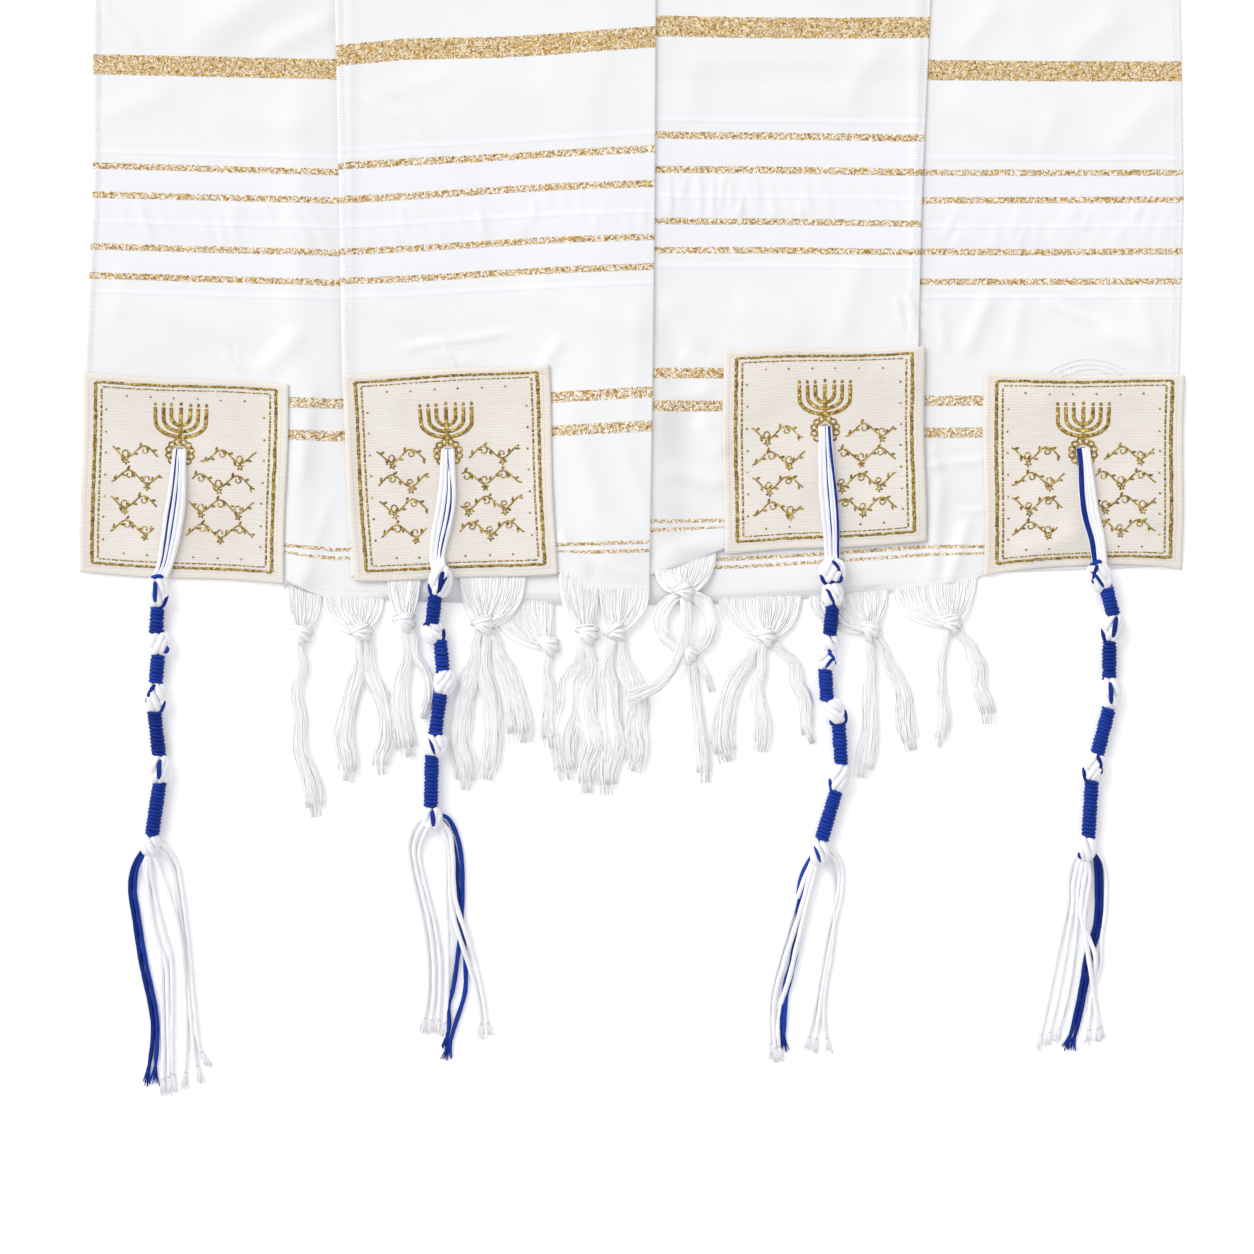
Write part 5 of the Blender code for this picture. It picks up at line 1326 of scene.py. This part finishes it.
        # the fibres part where the string is cut
        tip = line[int(len(line) * 0.925):]
        a, s, u = local_frame(tip[-1] - tip[0])
        fan = 3.0 if colour == "B" and number == 2 else 1.9
        for fibre in range(9):
            spread = np.linspace(0, 1, len(tip)) ** 1.4
            side = (fibre - 4) / 4 * fan + rng.uniform(-0.3, 0.3)
            start = (fibre - 4) / 4 * 0.62
            aside, rise = (start + (side - start) * spread) / 1000, rng.uniform(-0.5, 0.3) / 1000 * spread
            loose = tip + aside[:, None] * s + rise[:, None] * u + (np.linspace(0, 1, len(tip)) * rng.uniform(-2.2, 1.2) / 1000)[:, None] * a
            loose[:, 2] = np.maximum(loose[:, 2], 0.00045)
            strand.tube(loose, np.linspace(thick * 0.40, thick * 0.20, len(tip)), sides=5, tone=rng.random(), slot=slot)
        piece = strand.build()
        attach(piece, "root")
        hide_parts(f"{name}_loose_ends")
        length = float(np.linalg.norm(np.diff(line, axis=0), axis=1).sum())
        pieces.append(piece)
    wound, knotted = stem.build(), knots.build()
    for piece in (wound, knotted):
        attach(piece, "root")
        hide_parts(f"{name}_stem", f"{name}_strings")
    whole = [tuple(on_plan(x, y, z)) for x, y, z in [(x, y, z - 1.0) for x, y, z, _ in strings]] + [tuple(on_plan(x, y, z)) for x, y, z in core]
    line = smooth_line(whole, 0.002)
    length = float(np.linalg.norm(np.diff(line, axis=0), axis=1).sum())
    tuple(on_plan(strings[0][0], strings[0][1], strings[0][2]))
    return pieces


# ---------------------------------------------------------------- fringe
def skein(threads, route, widths, high, count, radius, rng, ragged=7.0, open_end=True, sides=4, step=0.0055, body=True):
    """A loose bundle of threads along a route of (x, y, height in mm), this wide and high in plan units and mm."""
    line = smooth_line([tuple(on_plan(x, y, z)) for x, y, z in route], step)
    n = len(line)
    t = np.linspace(0, 1, n)
    wide = np.interp(t, np.linspace(0, 1, len(widths)), widths) * UNIT / 2
    tangent = np.gradient(line, axis=0)
    tangent /= np.linalg.norm(tangent, axis=1)[:, None]
    side = np.cross(tangent, np.array([0, 0, 1.0]))
    side /= np.linalg.norm(side, axis=1)[:, None] + 1e-9
    up = np.cross(side, tangent)
    if body:
        # threads in the middle of the bundle, as one soft ribbed core
        stop = int(n * 0.80) if open_end else n
        core = np.clip(wide * 0.80, radius * 2, None)
        threads.tube(line[:stop] - up[:stop] * 0.0003, core[:stop] * np.interp(t[:stop], [0, 0.1, 0.62, 0.8, 1], [0.9, 1, 1, 0.45, 0.3]), sides=20, lobes=10, depth=0.14, twist=8.0, tone=rng.random(), flat=min(1.0, high * 0.40 / 1000 / float(np.mean(core))))
    for k in range(count):
        # each thread wanders across the bundle as it runs
        p0, p1 = rng.uniform(-1, 1), rng.uniform(-1, 1)
        p1 = 0.55 * p0 + 0.45 * p1 if rng.random() < 0.75 else p1
        q0 = rng.uniform(0.25, 1.0)
        wave, phase = rng.uniform(0.04, 0.17), rng.uniform(0, 6.28)
        across = np.clip(p0 + (p1 - p0) * smooth_step(t * rng.uniform(0.9, 1.5)) + wave * np.sin(2 * math.pi * t * rng.uniform(0.8, 2.6) + phase), -1.25, 1.25)
        lift = q0 * np.sqrt(np.clip(1.05 - across**2, 0.02, 1)) + 0.12 * np.sin(2 * math.pi * t * rng.uniform(0.5, 1.4) + phase * 2)
        path = line + side * (across * np.maximum(wide - radius, radius))[:, None] + up * (lift * (high / 2000 - radius))[:, None]
        cut = 1.0
        if open_end:
            total = np.linalg.norm(np.diff(line, axis=0), axis=1).sum()
            cut = 1.0 - abs(rng.gauss(0, ragged * UNIT)) / max(total, 1e-6) - 0.03 * abs(across[-1])
        keep = max(4, int(round(n * max(0.62, min(1.0, cut)))))
        path = path[:keep].copy()
        path[:, 2] = np.maximum(path[:, 2], radius * 1.02)
        threads.tube(path, np.interp(np.linspace(0, 1, keep), [0, 0.9, 1], [radius, radius, radius * (0.5 if open_end else 1.0)]), sides=sides, tone=rng.random())


def fringe_fan(threads, hem_from, hem_to, fan_mm, knot, rng):
    """Threads from the hem that swing in to the knot."""
    width = math.dist(hem_from, hem_to)
    count = int(width / 1.55)
    kx, ky, kz = knot
    drop = ky - (hem_from[1] + hem_to[1]) / 2
    # flat soft bunches below the single threads
    bunches = max(3, int(width / 8))
    for i in range(bunches):
        u = (i + 0.5) / bunches
        x0, y0 = hem_from[0] + (hem_to[0] - hem_from[0]) * u, hem_from[1] + (hem_to[1] - hem_from[1]) * u - 2.0
        away = x0 - kx
        outer = min(1.0, abs(away) / 30.0)
        t = np.linspace(0, 1, 11)
        b = [(1 - t) ** 3, 3 * t * (1 - t) ** 2, 3 * t * t * (1 - t), t**3]
        x = b[0] * x0 + b[1] * x0 + b[2] * (kx + away * (0.36 + 0.20 * outer)) + b[3] * (kx + away * 0.06)
        y = b[0] * y0 + b[1] * (y0 + drop * (0.38 + 0.24 * outer)) + b[2] * (ky - drop * (0.28 - 0.26 * outer)) + b[3] * ky
        z = fan_mm + 0.75 + (kz + 1.6 - fan_mm) * smooth_step(t * 1.05)
        wide = np.interp(t, [0, 0.5, 1], [width / bunches * 0.62, width / bunches * 0.60, 3.4]) * UNIT
        threads.tube(on_plan(x, y, np.maximum(z, 0.6)), wide, sides=14, lobes=7, depth=0.10, twist=6.0, tone=rng.random(), flat=min(1.0, 0.55e-3 / float(np.mean(wide))))
    for layer in (0, 1):
        for i in range(count):
            u = (i + 0.5 + rng.uniform(-0.3, 0.3)) / count
            x0, y0 = hem_from[0] + (hem_to[0] - hem_from[0]) * u, hem_from[1] + (hem_to[1] - hem_from[1]) * u
            y0 -= 2.0
            away = (x0 - kx)
            outer = min(1.0, abs(away) / 30.0)
            # the outer threads hang first, and then run sideways to the knot
            hang = drop * (0.30 + 0.24 * outer + 0.18 * rng.random())
            x1, y1 = x0 + away * rng.uniform(-0.06, 0.07) + rng.uniform(-3.4, 3.4), y0 + hang
            x2, y2 = kx + away * (0.28 + 0.20 * outer + 0.12 * rng.random()), ky - drop * (0.34 - 0.26 * outer + 0.16 * rng.random()) + 2.0 * layer
            x3, y3 = kx + away * 0.08 + rng.uniform(-3.6, 3.6), ky + rng.uniform(-4, 3)
            t = np.linspace(0, 1, 13)
            b = [(1 - t) ** 3, 3 * t * (1 - t) ** 2, 3 * t * t * (1 - t), t**3]
            x = b[0] * x0 + b[1] * x1 + b[2] * x2 + b[3] * x3
            y = b[0] * y0 + b[1] * y1 + b[2] * y2 + b[3] * y3
            start = fan_mm + 0.6 + 0.75 * layer
            x = x + rng.uniform(0.4, 1.5) * np.sin(t * rng.uniform(4.0, 9.0) + rng.uniform(0, 6.28)) * np.sin(math.pi * t)
            z = start + (kz + 2.4 + rng.uniform(-0.9, 1.3) - start) * smooth_step(t * 1.05) + 0.25 * np.sin(t * 3.1) * layer
            threads.tube(on_plan(x, y, np.maximum(z, 0.45)), 0.00036 * rng.uniform(0.85, 1.2), sides=5, tone=rng.random())


def fringe_knot(threads, knot, rng, size=1.0, lean=None):
    """A knot of the gathered threads: skeins that go round and over each other."""
    kx, ky, kz = knot
    middle = kz + 2.6
    lean = rng.uniform(-0.5, 0.5) if lean is None else lean
    for k in range(3):
        turn = lean + (k - 1) * 0.42
        wide, tall = (9.6 - k * 0.5) * size, (6.0 + k * 0.6) * size
        points = []
        for a in np.linspace(-0.5, math.pi + 0.5, 9):
            px, pz = wide * math.cos(a), math.sin(a)
            py = tall * 0.42 * math.cos(a + 0.5) + (k - 1) * 4.0 * size
            points.append((kx + px * math.cos(turn) - py * math.sin(turn), ky + px * math.sin(turn) + py * math.cos(turn), middle - 0.7 + 2.7 * pz))
        skein(threads, points, [5.5 * size, 9.5 * size, 10.5 * size, 9.5 * size, 5.5 * size], 2.2, 14, 0.00042, rng, open_end=False, step=0.0015)


def build_fringe(name, material):
    hem_from, hem_to, fan_mm, knot, bundles = FRINGE[name]
    rng = random.Random(name)
    threads = Threads(f"{name}_threads", [material])
    fringe_fan(threads, hem_from, hem_to, fan_mm, knot, rng)
    fringe_knot(threads, knot, rng)
    for bundle in bundles:
        route = [(knot[0] + rng.uniform(-2, 2), knot[1] + 2, knot[2] + 2.0)]
        first = bundle[0]
        # the bundle leaves the knot sideways, bends down and then sways a little
        lean = (first[0] - knot[0]) * 0.50
        route.append((knot[0] + lean, knot[1] + 13, 2.1))
        widths = [9.0, 11.0]
        for k, (x, y, width, *height) in enumerate(bundle):
            last = k == len(bundle) - 1
            px, py = route[-1][:2]
            # an extra bend half way makes the bundle sway
            route.append(((x + px) / 2 + rng.choice((-1, 1)) * rng.uniform(2.0, 5.0), (y + py) / 2, (height[0] if height else 0.1) + 1.7))
            route.append((x + (0.0 if last else rng.uniform(-2.5, 2.5)), y, (height[0] if height else 0.1) + 1.6))
            widths += [width * 1.15, width * (1.05 if last else 1.30)]
        end = bundle[-1]
        count = int(end[2] * 1.75) + 8
        skein(threads, route, widths, 3.1, count, 0.00039, rng, step=0.0052)
    if name == "fringe_08":
        kx, ky, _ = knot
        loops = (
            # the threads open into two loops below the first knot, and meet in the second
            (((682, 594, 3.6), (668, 604, 3.2), (660, 622, 2.6), (667, 640, 2.4), (684, 652, 2.8)), (9, 17, 20, 15, 9), 30),
            (((687, 594, 3.6), (704, 602, 3.2), (711, 622, 2.6), (706, 642, 2.4), (692, 653, 2.8)), (9, 17, 20, 15, 9), 32),
            (((685, 597, 4.6), (687, 618, 4.4), (684, 640, 4.6), (676, 662, 5.4), (662, 682, 6.4), (644, 691, 6.6), (626, 698, 6.4)), (10, 13, 12, 12, 13, 15, 18), 30),
            (((691, 656, 2.6), (694, 690, 2.0), (699, 730, 1.9), (705, 783, 1.9)), (10, 14, 16, 20), 36),
            (((694, 655, 2.6), (704, 670, 2.0), (713, 692, 1.9)), (8, 10, 10), 14),
        )
        for route, widths, count in loops:
            skein(threads, route, widths, 3.2, count, 0.00043, rng, open_end=route[-1][1] > 660)
        fringe_knot(threads, (689, 655, 0.4), rng, 0.85, 0.5)
    piece = threads.build()
    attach(piece, "root")
    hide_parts(name)
    return piece


# ---------------------------------------------------------------- scene
def place_camera():
    data = bpy.data.cameras.new("view_from_above")
    data.lens, data.sensor_width = 100.0, 36.0
    camera = bpy.data.objects.new("view_from_above", data)
    centre = on_plan(*PLAN_CENTRE, 2.0)
    camera.location = (centre[0], centre[1], centre[2] + PLAN_WIDTH * UNIT * data.lens / data.sensor_width)
    data.clip_start, data.clip_end = 0.05, 50.0
    bpy.context.scene.collection.objects.link(camera)
    bpy.context.scene.camera = camera


def place_lights():
    scene = bpy.context.scene
    scene.view_settings.view_transform = "Standard"
    world = bpy.data.worlds.new("soft_studio")
    world.use_nodes = True
    back = world.node_tree.nodes["Background"]
    back.inputs["Color"].default_value = (1.0, 1.0, 1.0, 1.0)
    back.inputs["Strength"].default_value = 0.79
    scene.world = world
    for name, turn, tilt, strength, angle in (("key", 140.0, 57.0, 1.82, 50.0),):
        data = bpy.data.lights.new(name, "SUN")
        data.energy, data.angle = strength, math.radians(angle)
        light = bpy.data.objects.new(name, data)
        a = math.radians(turn)
        direction = (math.cos(a) * math.sin(math.radians(tilt)), math.sin(a) * math.sin(math.radians(tilt)), math.cos(math.radians(tilt)))
        light.rotation_mode = "QUATERNION"
        light.rotation_quaternion = Vector(direction).to_track_quat("Z", "Y")
        light.location = (direction[0] * 2, direction[1] * 2, direction[2] * 2)
        scene.collection.objects.link(light)


def place_floor():
    size = 4.0
    points = np.array([(-size, -size, 0.0), (size, -size, 0.0), (size, size, 0.0), (-size, size, 0.0)])
    floor = new_object("floor", points, [[0, 1, 2, 3]], [floor_finish()])


def loose_threads(material):
    """A few stray threads that lie over the top edge of the right patch."""
    threads = Threads("stray_threads", [material])
    for points in (((1049, 371), (1066, 363), (1086, 359), (1108, 362), (1126, 369)), ((1053, 374), (1070, 367), (1090, 364), (1112, 368), (1121, 375)), ((1061, 376), (1080, 370), (1098, 369), (1110, 374))):
        line = smooth_line([(x, y, 0.0) for x, y in points], 3.0)
        x, y = line[:, 0], line[:, 1]
        z = surface_z("right", "back", x, y) + 0.55 + (PATCH_OFF + 0.3) * smooth_step((y - 370) / 4)
        threads.tube(on_plan(x, y, z), 0.00016, sides=5, tone=0.5)
    piece = threads.build()
    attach(piece, "root")
    return piece


def main():
    place_camera()
    place_lights()
    place_floor()
    cloth = cloth_finish()
    cream = patch_finish()
    gold = gold_finish()
    white = thread_finish("white_strings", (0.820, 0.815, 0.872), (0.912, 0.912, 0.935))
    blue = thread_finish("royal_blue_string", (0.001, 0.010, 0.115), (0.014, 0.056, 0.400), rough=0.6, sheen=0.01, tint=(0.3, 0.4, 1.0), specular=0.12)
    silk = thread_finish("white_fringe_threads", (0.936, 0.936, 0.944), (0.981, 0.981, 0.987), sheen=0.40)
    for number in range(1, 5):
        build_corner_tassel(f"tzitzit_{number}", f"patch_{number}", [white, blue])
    fringes = {name: build_fringe(name, silk) for name in FRINGE}
    for side, length, area in (("left", 0.913, 0.356), ("right", 0.913, 0.350)):
        piece = build_end(side, cloth)
        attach(piece, "root")
        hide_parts(f"cloth_{side}_end")
    neck = build_neck(cloth)
    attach(neck, "root")
    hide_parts("cloth_neck")
    for name in PATCHES:
        patch, piece = build_patch(name, cream)
        stitches = build_embroidery(name, patch, gold)
        for made in (piece, stitches):
            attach(made, "root")
            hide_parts(name)
        side = "left" if name in ("patch_1", "patch_2") else "right"
    loose_threads(silk)


main()
